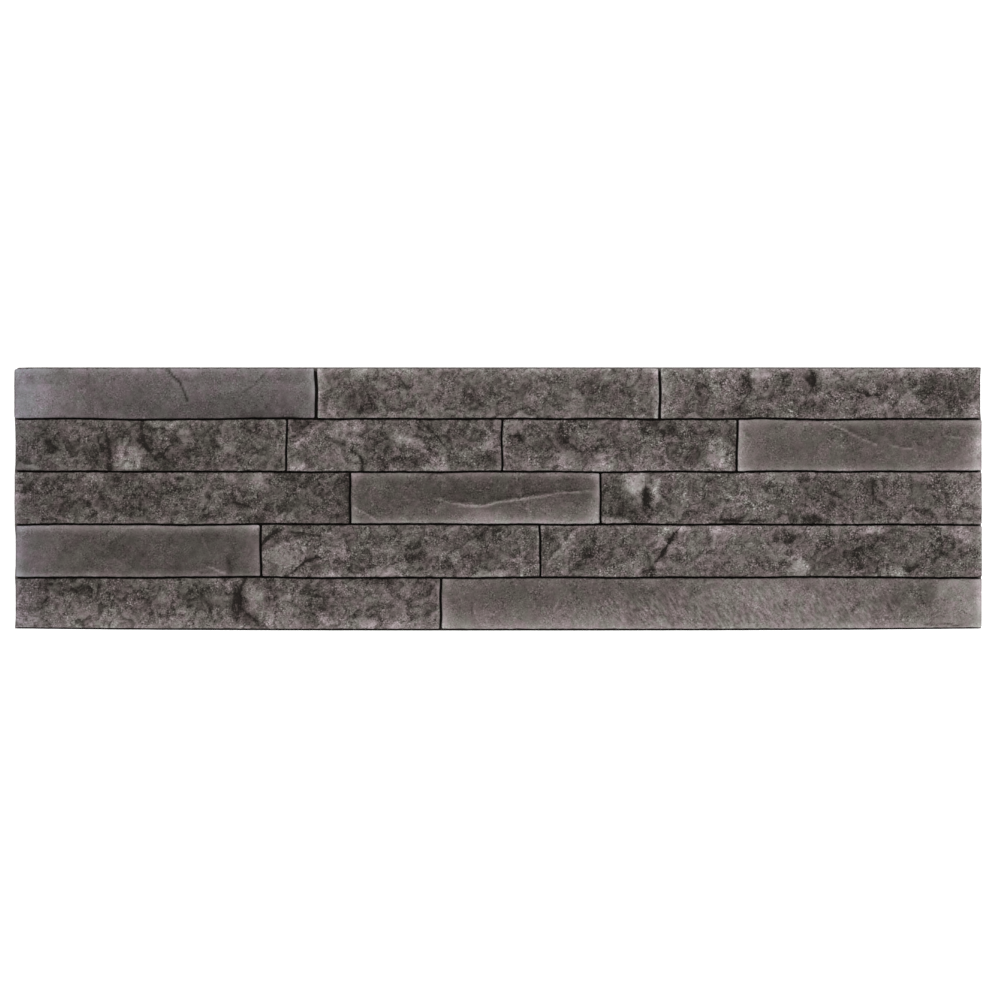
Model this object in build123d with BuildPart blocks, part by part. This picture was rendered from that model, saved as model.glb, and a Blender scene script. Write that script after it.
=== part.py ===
from build123d import *

# Stone-look concrete cladding tile, cast in one piece, lying on its flat back.
# Millimetres. +X runs along the courses, +Y points to the tile's upper edge, +Z points out of its face.
# The origin is the centre of the back.

import os
from collections import namedtuple
from math import atan, cos, degrees, pi, radians, sin, tan
from random import Random

# Overall sizes
tile_length = 550.0
course_height = 30.0  # from one bed joint to the next
slab_thickness = 10.0  # back of the tile to the floor of the joints

# Joints between the strips
joint_mouth = 1.8
joint_floor = 1.0

# Worn edge round every strip
arris = 0.7

# Finish: facet_length and facets_across are the size and number of the flats that make up a strip's face,
# relief is how far the face swells and sinks, and chip is how far a single corner of a flat stands out.
Finish = namedtuple("Finish", "facet_length facets_across relief chip")
split = Finish(facet_length=9.5, facets_across=5, relief=1.1, chip=0.6)
riven = Finish(facet_length=40.0, facets_across=2, relief=0.35, chip=0.15)

# Swells of the face: wavelength, heading in degrees from +X, share of the relief
swells = [(76.0, 12.0, 0.45), (41.0, 64.0, 0.3), (27.0, -38.0, 0.25)]
course_phase = 1.7  # moves the swells on from one course to the next, so that they don't run across a joint
strip_phase = 2.3  # and from one strip to the next

# Unevenness of the flats: share of a flat that its corners stray along and across the strip, and how far
# a row of flats is turned out of square, in degrees
stray_along = 0.2
stray_across = 0.25
row_skew = 8.0

# Strips of each course from left to right: finish, length from joint to joint, height over the joint floor.
# The last strip of a course runs on to the tile's end.
Strip = namedtuple("Strip", "finish length rise")
to_the_end = None
courses = [
    [Strip(riven, 172.0, 7.0), Strip(split, 194.6, 8.6), Strip(split, to_the_end, 9.2)],
    [Strip(split, 154.8, 8.8), Strip(split, 122.6, 8.0), Strip(split, 133.2, 9.0), Strip(riven, to_the_end, 7.6)],
    [Strip(split, 191.1, 9.3), Strip(riven, 142.0, 7.2), Strip(split, to_the_end, 8.9)],
    [Strip(riven, 140.5, 7.8), Strip(split, 158.2, 8.4), Strip(split, to_the_end, 9.4)],
    [Strip(split, 242.5, 8.9), Strip(riven, to_the_end, 7.4)],
]

# Main lumps and hollows of the split faces, by course and strip: distance from the strip's left joint and
# from its middle line, half length, half width, height at the middle (minus for a hollow)
Form = namedtuple("Form", "from_left off_middle along across height")
forms = {
    (1, 2): [
        Form(26.0, -4.5, 13.0, 12.0, -2.2),
        Form(63.0, 5.5, 12.0, 9.0, 1.2),
        Form(90.0, -4.5, 9.0, 8.0, -1.6),
        Form(121.0, 9.5, 12.0, 9.0, 1.2),
        Form(147.0, -6.5, 8.0, 10.0, 1.2),
        Form(157.0, 2.5, 10.0, 10.0, -2.0),
    ],
    (1, 3): [
        Form(37.5, -0.5, 10.0, 12.0, 1.4),
        Form(50.5, 3.5, 7.0, 10.0, -1.6),
        Form(85.5, 7.5, 8.0, 12.0, -2.0),
        Form(115.5, -1.5, 8.0, 8.0, -1.8),
        Form(156.5, 0.5, 12.0, 11.0, -2.2),
    ],
    (2, 1): [
        Form(22.0, 0.5, 12.0, 10.0, -1.8),
        Form(49.0, -5.5, 9.0, 12.0, -1.6),
        Form(64.0, -6.5, 9.0, 11.0, 2.0),
        Form(76.0, 3.5, 9.0, 9.0, -1.4),
        Form(92.0, 7.5, 12.0, 9.0, 1.2),
    ],
    (2, 2): [
        Form(7.0, 11.5, 9.0, 7.0, -1.8),
        Form(53.0, -4.5, 8.0, 11.0, -1.5),
        Form(70.0, 4.5, 13.0, 8.0, 1.4),
        Form(68.0, -8.5, 11.0, 9.0, -1.5),
        Form(86.0, -10.5, 12.0, 8.0, 1.5),
    ],
    (2, 3): [
        Form(34.5, 6.5, 8.0, 10.0, -1.5),
        Form(55.5, -9.5, 12.0, 9.0, 1.7),
        Form(89.5, 10.5, 14.0, 8.0, -1.8),
        Form(119.5, -5.5, 13.0, 11.0, 1.5),
    ],
    (3, 1): [
        Form(25.0, -11.5, 12.0, 8.0, -1.6),
        Form(139.0, 10.5, 9.0, 8.0, 1.5),
        Form(130.0, -3.5, 9.0, 7.0, -1.6),
        Form(139.0, -12.5, 11.0, 7.0, -1.9),
        Form(163.0, 11.5, 18.0, 7.0, -1.9),
    ],
    (3, 3): [
        Form(19.0, 7.5, 9.0, 11.0, 2.0),
        Form(26.0, -0.5, 8.0, 9.0, -2.2),
        Form(77.0, -13.5, 16.0, 6.0, -1.7),
        Form(120.0, -11.5, 14.0, 6.0, -2.0),
    ],
    (4, 2): [
        Form(14.5, -1.5, 14.0, 12.0, 1.8),
        Form(28.5, -7.5, 9.0, 9.0, -1.8),
        Form(72.5, -4.5, 11.0, 13.0, 1.3),
        Form(88.5, -2.5, 8.0, 11.0, -1.6),
        Form(128.5, 10.5, 13.0, 8.0, -2.3),
    ],
    (4, 3): [
        Form(6.5, 8.5, 8.0, 9.0, -1.5),
        Form(16.5, 4.5, 8.0, 12.0, 1.5),
        Form(28.5, -0.5, 9.0, 9.0, -1.7),
        Form(64.5, -12.5, 8.0, 7.0, -2.0),
        Form(141.5, 6.5, 9.0, 8.0, -1.8),
        Form(149.5, -8.5, 8.0, 10.0, 1.8),
        Form(182.5, -3.5, 14.0, 11.0, -1.8),
    ],
    (5, 1): [
        Form(32.0, 10.5, 20.0, 9.0, -2.0),
        Form(106.0, 2.5, 10.0, 14.0, -1.5),
        Form(127.0, -0.5, 8.0, 14.0, -2.3),
        Form(140.0, -2.5, 8.0, 12.0, 1.8),
        Form(205.0, 12.5, 16.0, 7.0, -2.0),
        Form(201.0, -10.5, 14.0, 7.0, 1.5),
    ],
}

# How far each course stops short of the tile's left and right ends
end_insets = [(0.1, 1.1), (1.0, 0.8), (0.5, 0.7), (0.8, 0.4), (0.9, 0.0)]

# Broken corner at the upper left: along the top edge, down the end, and the knee between them
chip_along = 2.6
chip_down = 2.9
chip_knee = (2.1, 2.0)

# Rounded corner at the lower right
corner_radius = 1.7

# Worked out from the sizes above
tile_width = course_height * len(courses)
wall_lean = (joint_mouth - joint_floor) / 2
half_foot = (course_height - joint_floor) / 2
half_face = (course_height - joint_mouth) / 2 - arris
highest_rise = max(strip.rise for course in courses for strip in course)
highest_form = max(form.height for group in forms.values() for form in group)
highest_face = slab_thickness + highest_rise + split.relief + split.chip + highest_form


def swell(x, y, phase):
    """Height of the broad swells at a point of the face, from -1 to 1."""
    total = 0.0
    for wavelength, heading, share in swells:
        along = x * cos(radians(heading)) + y * sin(radians(heading))
        total += share * sin(2 * pi * along / wavelength + phase)
    return total


def lumps(from_left, off_middle, group):
    """Height of a strip's lumps and hollows at a point of its face."""
    total = 0.0
    for form in group:
        reach = ((from_left - form.from_left) / form.along) ** 2 + ((off_middle - form.off_middle) / form.across) ** 2
        total += form.height * max(0.0, 1.0 - reach) ** 2
    return total


def stations(length, facet_length, draw):
    """Places along a strip with the skew of the flats there: the inner ones stray, the two ends stay square."""
    count = max(2, round(length / facet_length))
    step = (length - 2 * arris) / count
    places = [(arris, 0.0)]
    for i in range(1, count):
        stray = draw.uniform(-stray_along, stray_along)
        places.append((arris + step * (i + stray), draw.uniform(-row_skew, row_skew)))
    places.append((length - arris, 0.0))
    return places


def face_line(strip, group, left, x, skew, middle_y, phase, draw):
    """Points across the strip's face at one station, as (offset from the middle line, height)."""
    finish = strip.finish
    step = 2 * half_face / finish.facets_across
    line = []
    for i in range(finish.facets_across + 1):
        inside = 0 < i < finish.facets_across
        stray = draw.uniform(-stray_across, stray_across) if inside else 0.0
        offset = -half_face + step * (i + stray)
        along = x + offset * tan(radians(skew))
        height = strip.rise + finish.relief * swell(left + along, middle_y + offset, phase)
        height += finish.chip * draw.uniform(-1, 1) + lumps(along, offset, group)
        line.append((offset, height))
    return line


def make_strip(name, strip, group, left, length, middle_y, phase):
    """One strip, lofted along its length through its cross-sections. Its foot stands on the joint floor."""
    draw = Random(name)
    lean = degrees(atan(wall_lean / strip.rise))
    places = stations(length, strip.finish.facet_length, draw)
    lines = [face_line(strip, group, left, x, skew, middle_y, phase, draw) for x, skew in places]
    # the two end walls repeat their neighbours' lines, lower and narrower by the worn edge
    sections = [(0.0, 0.0, -lean, lines[0], arris)]
    sections += [(x, skew, 0.0, line, 0.0) for (x, skew), line in zip(places, lines)]
    sections += [(length, 0.0, lean, lines[-1], arris)]

    with BuildPart() as strip_solid:
        for x, skew, tilt, line, worn in sections:
            # a section is either skewed or leaning, never both
            turn, tip = radians(skew), radians(tilt)
            wall_plane = Plane(
                origin=(left + x, middle_y, slab_thickness),
                x_dir=(sin(turn), cos(turn), 0),
                z_dir=(cos(turn) * cos(tip), -sin(turn), sin(tip)),
            )
            (first_y, first_z), (last_y, last_z) = line[0], line[-1]
            outline = [
                (-half_foot + worn, 0),
                (first_y - arris + worn, first_z - arris - worn),
                *[(y * (1 - worn / half_foot), z - worn) for y, z in line],
                (last_y + arris - worn, last_z - arris - worn),
                (half_foot - worn, 0),
            ]
            with BuildSketch(wall_plane):
                with BuildLine():
                    Polyline([(y / cos(turn), z) for y, z in outline], close=True)
                make_face()
        loft(ruled=True)
    strip_solid.part.label = name
    return strip_solid.part


def make_course(number, course, insets):
    """The strips of one course, from left to right. The bed joint lies under them."""
    middle_y = tile_width / 2 - course_height * number - half_foot
    left_end = -tile_length / 2 + insets[0]
    right_end = tile_length / 2 - insets[1]
    strips = []
    start = -tile_length / 2
    for place, strip in enumerate(course):
        first, last = place == 0, place == len(course) - 1
        end = tile_length / 2 if last else start + strip.length
        left = left_end if first else start + joint_floor / 2
        right = right_end if last else end - joint_floor / 2
        name = f"strip_{number + 1}_{place + 1}"
        group = forms.get((number + 1, place + 1), [])
        phase = course_phase * number + strip_phase * place
        strips.append(make_strip(name, strip, group, left, right - left, middle_y, phase))
        start = end
    return strips


strips = []
for number, (course, insets) in enumerate(zip(courses, end_insets)):
    strips += make_course(number, course, insets)

with BuildPart() as cladding_tile:
    # slab that carries the strips; its lowest joint is left half open for the tile laid below
    with BuildSketch():
        Rectangle(tile_length, tile_width)
    extrude(amount=slab_thickness)
    add(strips)
    # broken corner at the upper left
    with BuildSketch(Plane.XY.move(Location((-tile_length / 2, tile_width / 2)))):
        with BuildLine():
            Polyline((0, 0), (chip_along, 0), (chip_knee[0], -chip_knee[1]), (0, -chip_down), close=True)
        make_face()
    extrude(amount=highest_face, mode=Mode.SUBTRACT)
    # rounded corner at the lower right
    with BuildSketch(Plane.XY.move(Location((tile_length / 2, -tile_width / 2)))):
        Rectangle(2 * corner_radius, 2 * corner_radius)
        with Locations((-corner_radius, corner_radius)):
            Circle(corner_radius, mode=Mode.SUBTRACT)
    extrude(amount=highest_face, mode=Mode.SUBTRACT)
cladding_tile.part.label = "cladding_tile"

os.makedirs("parts", exist_ok=True)
export_step(cladding_tile.part, "parts/cladding_tile.step")
print("size", cladding_tile.part.bounding_box().size, "volume", round(cladding_tile.part.volume))
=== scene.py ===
from math import exp, hypot, radians, sqrt

import bmesh
import bpy
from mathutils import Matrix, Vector, noise
from mathutils.bvhtree import BVHTree


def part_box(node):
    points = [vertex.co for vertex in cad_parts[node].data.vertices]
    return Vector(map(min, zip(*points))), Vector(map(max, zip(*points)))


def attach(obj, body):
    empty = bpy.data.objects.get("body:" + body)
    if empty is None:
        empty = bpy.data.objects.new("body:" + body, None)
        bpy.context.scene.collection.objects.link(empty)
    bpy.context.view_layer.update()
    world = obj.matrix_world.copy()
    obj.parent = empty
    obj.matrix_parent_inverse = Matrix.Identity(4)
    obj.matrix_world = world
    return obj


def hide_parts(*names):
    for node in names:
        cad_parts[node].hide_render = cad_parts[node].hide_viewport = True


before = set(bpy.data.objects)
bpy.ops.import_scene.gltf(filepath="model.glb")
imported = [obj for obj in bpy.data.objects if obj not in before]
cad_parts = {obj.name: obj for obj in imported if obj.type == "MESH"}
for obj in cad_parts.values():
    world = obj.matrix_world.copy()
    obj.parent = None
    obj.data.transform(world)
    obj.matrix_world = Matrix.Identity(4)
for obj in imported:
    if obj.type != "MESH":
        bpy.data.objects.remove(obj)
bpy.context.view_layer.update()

mm = 0.001  # lengths below are millimetres, and the finished mesh is scaled to metres by this
tileNode = "cladding_tile"
cadLow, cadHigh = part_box(tileNode)
end = None  # length of a strip that runs on to the end of its course

# The casting: how it is divided into strips, and how its edges are worn
tile = {
    "courseHeight": 30.0,
    "slabThickness": 10.0,
    "jointFloor": 1.0,
    "bedJoint": 0.88,
    "lowerLedge": 1.2,  # ledge of the slab left bare below the lowest course
    "flushEdge": 0.8,  # ledge left along the upper edge, where the strips stand flush with the slab
    # how far the strips stand back from the casting's ends, left and right, by course
    "endInsets": [(0.15, 1.25), (0.85, 0.15), (0.5, 0.15), (1.1, 0.2), (1.2, 0.15)],
    "slabEndShare": 0.45,  # share of these insets that the slab's own ends take
    "arris": 0.7,
    "brokenCorner": 2.8,  # upper left
    "roundedCorner": 1.5,  # lower right
    "stripCorner": 0.65,  # radius of the strips' corners, more or less
    "lowerBow": 1.05,  # how much higher the lower edge lies near the tile's ends than in the middle
    "bowHalfLength": 265.0,
    "wander": 0.7,  # how far the joints stray from straight
    "wanderReach": 9.0,  # and how far into the strips that is felt
    "wallLean": 0.12,
    "wallRings": 2,
    "edgeLines": (0.4, 1.05),  # extra mesh lines along the edges, where they are worn
    "slabCell": 7.5,
    "slabRings": (0.5, 3.5, 7.0, 9.6),  # heights of the mesh lines round the slab's sides
    "upperSlope": 0.55,  # how far the slab's upper edge is drawn in at its top
    "backHollow": 0.35,
    "backArris": 0.35,
    "openRim": (1.6, 2.5),  # walls this near the ends and the upper edge lie open, so they aren't stained
    "rimShade": 34.0,  # lightness lost at the tile's own ends
    "rimReach": 1.4,
    "edgeLighteningReach": (6.5, 5.0),  # how far the lightening reaches in from a strip's upper and lower edge, worn paler there and with painted light along the lower edge
    "coolReach": 42.0,
    "ragged": 0.22,  # how uneven the strips' edges are
    "raggedTop": 0.8,  # and the casting's upper edge besides
    "bareStain": 0.16,  # share of the stain that gathers on walls in the open
    # strength of the stains, which hold painted light on lumps and painted shade beside them as well
    "stainAndShadingStrength": 1.05,
    "darkest": 28.0,  # as much as stains and painted shade can take away
    "formHeight": 0.75,
    "formTone": 6.0,  # lightness a lump gains and a hollow loses for each mm of its height
    "softTop": 19.3,  # above this the peaks are drawn in, to stay within the solid's height
    "seed": 5,  # of the vectors that warp the relief, which would start from the clock without it
}
noise.seed_set(tile["seed"])

# How each finish is broken: cell is the mesh size, the rest are heights and sizes of its relief
tile["finishes"] = {
    "split": {
        "cell": 0.98,
        "settle": 3,  # smoothing passes over the flats of the solid
        "flakes": [(12.0, 0.18, 0.32), (4.6, 0.20, 0.12)],  # size, slope, step
        "swell": (8.0, 0.40),  # size, height
        "creases": (5.2, 0.30),
        "grit": (1.7, 0.15),
        "wornEdge": 0.42,
        "spalls": 0.9,
        "patchy": 0.9,
        "endReach": 5.5,
    },
    "riven": {
        "cell": 1.25,
        "settle": 6,
        "flakes": [(34.0, 0.010, 0.08)],
        "swell": (26.0, 0.28),
        "creases": (16.0, 0.10),
        "grit": (3.2, 0.05),
        "wornEdge": 0.4,
        "spalls": 0.25,
        "patchy": 0.3,
        "endReach": 9.0,
    },
}

# What a strip has if nothing else is said of it below
tile["plainStrip"] = {
    "drawnBack": (0.0, 0.0),  # how much further it is drawn back from its neighbours, left and right
    "mauve": 0.0,  # minus for greener
    "cool": (0.0, 0.0),  # how bluish it is all over, and at its left end as well
    "grain": 1.0,
    "scaly": [],  # x, y, half length, half width, amount
    "outlined": [],  # lumps with a clear outline, their lightness partly painted light on the lump: x, y, half length, half width, lightness added
    "forms": [],  # lumps, and hollows (minus), too small for the solid: x, y, half length, half width, height
    "lines": [],  # cracks (minus) and standing ridges: points along the line, half width, height
}

# The strips by course and place. First how light a strip is, 0 to 255: its middle, then what is added along
# its upper edge, lower edge, left end and right end, and over its lower half; the edges and ends are worn
# paler, and the lower edge, the right end and the lower half gain painted light besides, as lit from below
# and to the right. Stains, some of them pale, come on top of what the relief brings, and some of them are
# painted light on lumps and painted shade beside them: x, y, half length, half width, lightness added.
tile["strips"] = {
    (1, 1): {
        "finish": "riven", "length": 172.0, "tonesAndPaintedLight": (87, 36, 8, 15, 36, -9), "drawnBack": (0.0, 0.75),
        "cool": (0.45, 0.8), "grain": 0.9,
        "scaly": [(-215, 60, 60, 10, 0.4)],
        "outlined": [(-129, 45.3, 13, 0.8, -50), (-118, 45.4, 4, 0.9, -30)],
        "lines": [
            ([(-187.6, 74), (-184.5, 70), (-180.4, 65.8), (-178.8, 61.6), (-176.5, 55.9)], 0.85, -0.66),
            ([(-131, 73), (-139, 64), (-146, 60)], 0.6, -0.3), ([(-134, 58), (-131, 51)], 0.6, -0.3),
        ],
        "stainsAndPaintedShading": [
            (-175, 75, 14, 4, 14), (-272, 58, 21, 24, 22), (-215, 57, 34, 8, -3), (-150, 53, 30, 7, -5),
            (-133, 46, 16, 3, -34), (-256, 53, 30, 14, 8), (-174, 52, 44, 7, -7),
        ],
    },
    (1, 2): {
        "finish": "split", "length": 194.6, "tonesAndPaintedLight": (87, 40, 18, 40, 66, 0), "grain": 0.88,
        "forms": [
            (-74, 71, 5, 4, 0.9), (-38, 66, 6, 4, 0.8), (-59, 53, 3, 3, 0.6), (-7, 70, 4, 6, 0.8),
            (45, 56, 4, 8, 0.8), (90, 60, 4, 12, 0.7), (-8, 49, 8, 3, 0.8), (78, 60, 3, 5, 0.6),
            (-95, 58, 7, 4, -0.9), (-74, 52, 5, 6, -0.8), (-17, 61, 4, 4, -1.0), (-12, 55, 6, 5, -0.7),
            (-5, 60, 3, 3, -0.5), (35, 54, 4, 4, -0.8), (52, 64, 6, 5, -0.8), (73, 62, 6, 4, -0.6),
            (-66, 50, 4, 3, -0.6),
        ],
        "lines": [
            ([(-75, 62), (-72, 55), (-66, 49)], 1.4, -0.6), ([(-56, 69), (-52, 63), (-51, 59)], 1.0, -0.75),
            ([(-20, 62), (-15, 57), (-9, 53)], 1.3, -0.5), ([(32, 57), (36, 52)], 1.0, -0.5),
        ],
        "stainsAndPaintedShading": [
            (-78, 55, 9, 12, -16), (-77, 73, 5, 4, 24), (-100, 66, 6, 8, 8), (-100, 48, 5, 5, 12),
            (-12, 56, 14, 10, -10), (8, 62, 12, 8, -6), (18, 72, 12, 4, 14), (55, 64, 7, 7, -14),
            (68, 55, 12, 9, -9), (40, 50, 8, 6, 6), (-50, 72, 12, 4, 6), (-45, 52, 14, 7, 3),
        ],
    },
    (1, 3): {
        "finish": "split", "length": end, "tonesAndPaintedLight": (86, 42, 10, 46, 22, 0), "drawnBack": (0.4, 0.0),
        "grain": 1.15,
        "forms": [
            (96, 66, 4, 8, 0.6), (124, 57, 6, 9, 0.7), (131, 68, 4, 4, 0.8), (148, 71, 6, 4, 0.9),
            (137, 59, 3, 3, 0.7), (184, 59, 4, 4, 0.5), (203, 71, 8, 3, 0.8), (213, 62, 3, 4, 0.6),
            (235, 57, 6, 7, 0.5), (221, 52, 7, 3, 0.7), (252, 52, 4, 4, 0.7), (268, 52, 8, 5, 0.6),
            (101, 59, 4, 6, -0.7), (116, 59, 4, 6, -1.0), (142, 66, 4, 5, -1.0), (137, 49, 6, 4, -1.0),
            (154, 49, 5, 3, -1.1), (162, 67, 5, 4, -0.8), (174, 50, 5, 4, -1.1), (178, 70, 4, 5, -1.2),
            (167, 57, 3, 3, -0.6), (197, 63, 6, 4, -0.7), (207, 59, 4, 4, -1.2), (201, 50, 4, 4, -0.8),
            (218, 59, 4, 6, -1.0), (214, 71, 3, 3, -0.6), (246, 63, 7, 5, -1.0), (251, 60, 4, 4, -0.9),
            (260, 54, 7, 6, -1.0), (260, 69, 4, 4, -0.7),
        ],
        "lines": [
            ([(139, 70), (143, 64), (147, 60)], 1.2, -0.8), ([(178, 73), (180, 67), (177, 60)], 1.5, -1.0),
            ([(141, 58), (137, 52)], 1.1, -0.7), ([(163, 70), (160, 62)], 1.2, -0.6),
        ],
        "stainsAndPaintedShading": [
            (97, 58, 5, 12, 14), (115, 58, 6, 9, -11), (120, 72, 8, 4, 18), (131, 66, 7, 6, 10),
            (141, 65, 5, 5, -11), (143, 50, 12, 5, -19), (148, 72, 6, 4, 22), (162, 66, 6, 6, -10),
            (177, 68, 4, 6, -22), (190, 70, 10, 5, 17), (175, 52, 10, 4, -13), (205, 59, 6, 5, -13),
            (198, 49, 4, 4, 14), (217, 60, 5, 7, -10), (232, 56, 6, 8, 9), (246, 64, 7, 8, -25),
            (259, 56, 9, 10, -20), (264, 66, 5, 6, -10), (268, 50, 8, 5, 24), (232, 72, 12, 3, 14),
            (146, 62, 7, 12, 7), (176, 62, 7, 12, -5), (212, 60, 12, 12, 8), (250, 60, 8, 12, -6),
        ],
    },
    (2, 1): {
        "finish": "split", "length": 154.8, "tonesAndPaintedLight": (76, 18, 12, 34, 28, 0), "mauve": -0.1,
        "cool": (0.0, 0.5), "grain": 0.86,
        "outlined": [(-211.5, 23, 7.5, 9, 14)],
        "forms": [
            (-211, 24, 7, 8, 1.0), (-185, 43, 5, 3, 0.8), (-179, 37, 4, 5, 0.7), (-176, 32, 4, 3, 0.6),
            (-154, 31, 6, 3, 0.8), (-149, 37, 4, 3, 0.6), (-146, 18, 5, 3, 0.7), (-125, 30, 4, 5, 0.6),
            (-123, 38, 4, 3, 0.6), (-240, 38, 5, 4, 0.5), (-268, 35, 4, 7, 0.5), (-254, 31, 5, 4, -0.9),
            (-228, 24, 7, 9, -0.8), (-184, 34, 4, 3, -0.8), (-176, 17, 5, 3, -0.8), (-141, 41, 5, 3, -0.9),
            (-201, 30, 4, 6, -0.8),
        ],
        "lines": [
            ([(-222, 35), (-220.5, 26), (-221, 16)], 2.4, -0.95),
            ([(-203, 45), (-201.5, 33), (-198, 27)], 2.0, -0.95), ([(-198, 27), (-190, 17)], 2.2, -0.7),
            ([(-186, 30), (-176, 27), (-168, 30)], 1.0, -0.4),
        ],
        "stainsAndPaintedShading": [
            (-256, 32, 7, 7, -12), (-250, 42, 8, 5, -10), (-240, 40, 5, 5, 9), (-243, 20, 8, 6, 6),
            (-224, 26, 9, 13, -25), (-211, 23, 7, 9, 17), (-202, 37, 5, 10, -20), (-190, 22, 12, 9, -17),
            (-187, 43, 8, 4, 20), (-178, 34, 5, 5, 12), (-166, 30, 8, 12, -10), (-154, 30, 5, 5, 12),
            (-146, 18, 8, 5, 9), (-141, 40, 7, 5, -15), (-130, 28, 12, 8, 4), (-266, 22, 6, 6, 6),
        ],
    },
    (2, 2): {
        "finish": "split", "length": 122.6, "tonesAndPaintedLight": (84, 4, 22, 12, 20, 0), "grain": 0.95,
        "outlined": [(-84.5, 20, 7, 6.5, 7)],
        "forms": [
            (-108, 36, 6, 4, 0.9), (-113, 19, 5, 3, 0.7), (-83, 42, 6, 4, 0.8), (-80, 36, 6, 5, 0.6),
            (-57, 33, 4, 6, 0.7), (-46, 32, 9, 3, 0.8), (-49, 41, 4, 5, 0.5), (-35, 19, 7, 4, 1.0),
            (-28, 28, 3, 3, 0.7), (-12, 34, 3, 3, 0.7), (-5, 31, 3, 8, 0.5), (-88, 24, 6, 4, 0.6),
            (-112, 42, 6, 4, -1.0), (-78, 19, 4, 5, -1.2), (-66, 20, 4, 5, -1.1), (-66, 33, 5, 5, -0.6),
            (-51, 24, 8, 6, -0.6), (-42, 43, 6, 4, -0.9), (-35, 37, 5, 5, -0.8), (-8, 22, 6, 4, -0.8),
            (-13, 28, 4, 3, -0.6), (-22, 28, 3, 3, -0.5),
        ],
        "lines": [
            ([(-44, 44), (-37, 38), (-31, 31)], 1.3, -0.9),
            ([(-83, 27.5), (-78.5, 24.5), (-76.8, 20), (-77.5, 15.5)], 1.5, -1.1),
            ([(-62, 22), (-66, 16)], 1.1, -0.6), ([(-42, 29), (-33, 25), (-27, 27)], 0.9, -0.6),
            ([(-116, 30), (-108, 36), (-101, 42)], 1.4, 0.8),
        ],
        "stainsAndPaintedShading": [
            (-116, 32, 6, 4, 10), (-114, 18, 6, 4, 28), (-113, 43, 7, 5, -28), (-84, 39, 9, 8, 21),
            (-98, 24, 9, 8, 4), (-70, 30, 9, 8, -14), (-66, 20, 8, 6, -17), (-54, 35, 8, 5, 24),
            (-45, 30, 10, 5, 15), (-50, 21, 8, 7, -18), (-35, 20, 6, 6, 18), (-40, 40, 8, 7, -15),
            (-62, 45, 10, 2, -20), (-20, 38, 14, 7, -8), (-6, 34, 5, 7, 13), (-8, 21, 8, 6, -15),
        ],
    },
    (2, 3): {
        "finish": "split", "length": 133.2, "tonesAndPaintedLight": (79, 10, 18, 24, 4, 14), "grain": 1.06,
        "forms": [
            (9, 41, 6, 4, 0.8), (19, 19, 5, 4, 0.8), (38, 22, 3, 7, 0.6), (18, 33, 5, 3, 0.5),
            (52, 36, 7, 3, 0.7), (59, 20, 7, 6, 0.8), (72, 38, 3, 7, 0.6), (88, 27, 5, 6, 0.6),
            (124, 29, 5, 6, 0.8), (129, 22, 4, 5, 0.8), (117, 18, 6, 3, 0.7), (43, 40, 5, 4, 0.5),
            (9, 34, 4, 3, -0.9), (27, 30, 5, 4, -0.8), (28, 41, 4, 3, -0.6), (37, 37, 3, 6, -1.1),
            (11, 16, 6, 3, -0.9), (31, 25, 4, 5, -0.6), (53, 29, 5, 3, -0.7), (69, 31, 5, 3, -0.8),
            (74, 18, 3, 4, -0.7), (86, 44, 6, 3, -1.2), (97, 38, 5, 4, -1.0), (111, 25, 4, 6, -0.8),
            (119, 38, 5, 4, -0.6),
        ],
        "lines": [
            ([(36, 43), (38, 33), (44, 29)], 1.2, -0.7), ([(22, 42), (28, 36), (32, 30)], 1.0, -0.6),
            ([(60, 30), (70, 29), (75, 33)], 1.0, -0.55), ([(2, 25), (10, 22), (14, 17)], 1.0, -0.55),
        ],
        "stainsAndPaintedShading": [
            (9, 42, 5, 5, 12), (10, 33, 6, 5, -13), (37, 38, 5, 8, -17), (28, 31, 9, 7, -12),
            (50, 40, 8, 5, 5), (61, 33, 7, 5, -13), (38, 21, 6, 6, 13), (60, 20, 8, 6, 20),
            (8, 18, 8, 4, -10), (74, 40, 6, 5, 8), (90, 42, 10, 5, -19), (103, 40, 8, 6, -14),
            (85, 22, 10, 6, 9), (108, 24, 7, 9, -17), (125, 25, 7, 9, 27),
        ],
    },
    (2, 4): {
        "finish": "riven", "length": end, "tonesAndPaintedLight": (81, 38, 38, 50, 66, 4), "drawnBack": (0.2, 0.0),
        "scaly": [(255, 32, 20, 10, 0.5)],
        "lines": [
            ([(186, 44), (198, 38.7), (205, 34.8), (215, 30.8)], 0.6, 0.5),
            ([(223, 30.8), (230, 28.8), (235, 28.6)], 0.6, 0.35), ([(254, 35.7), (263, 34.8)], 0.6, 0.35),
        ],
        "stainsAndPaintedShading": [
            (226, 38, 30, 8, -10), (165, 32, 16, 8, -2), (250, 45, 24, 2, -8), (138, 32, 12, 20, 9),
            (273, 23, 12, 12, 23), (207, 24, 14, 7, -6),
        ],
    },
    (3, 1): {
        "finish": "split", "length": 191.1, "tonesAndPaintedLight": (76, 16, 14, 52, -25, 0), "cool": (0.0, 0.35),
        "grain": 0.97,
        "forms": [
            (-228, 13, 5, 3, 0.9), (-235, 8, 3, 3, 0.5), (-235, -6, 4, 3, 0.6), (-246, -11, 5, 4, 0.8),
            (-213, -8, 5, 4, 0.6), (-184, -12, 8, 3, 0.9), (-152, 12, 5, 3, 1.0), (-136, 11, 5, 5, 0.9),
            (-170, 4, 4, 4, 0.6), (-164, -5, 5, 4, 0.9), (-160, 4, 4, 3, 0.6), (-154, 0, 3, 3, 0.6),
            (-122, -10, 6, 4, 0.8), (-109, -5, 5, 6, 0.6), (-97, 8, 4, 3, 0.6), (-158, -12, 9, 3, 0.6),
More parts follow.
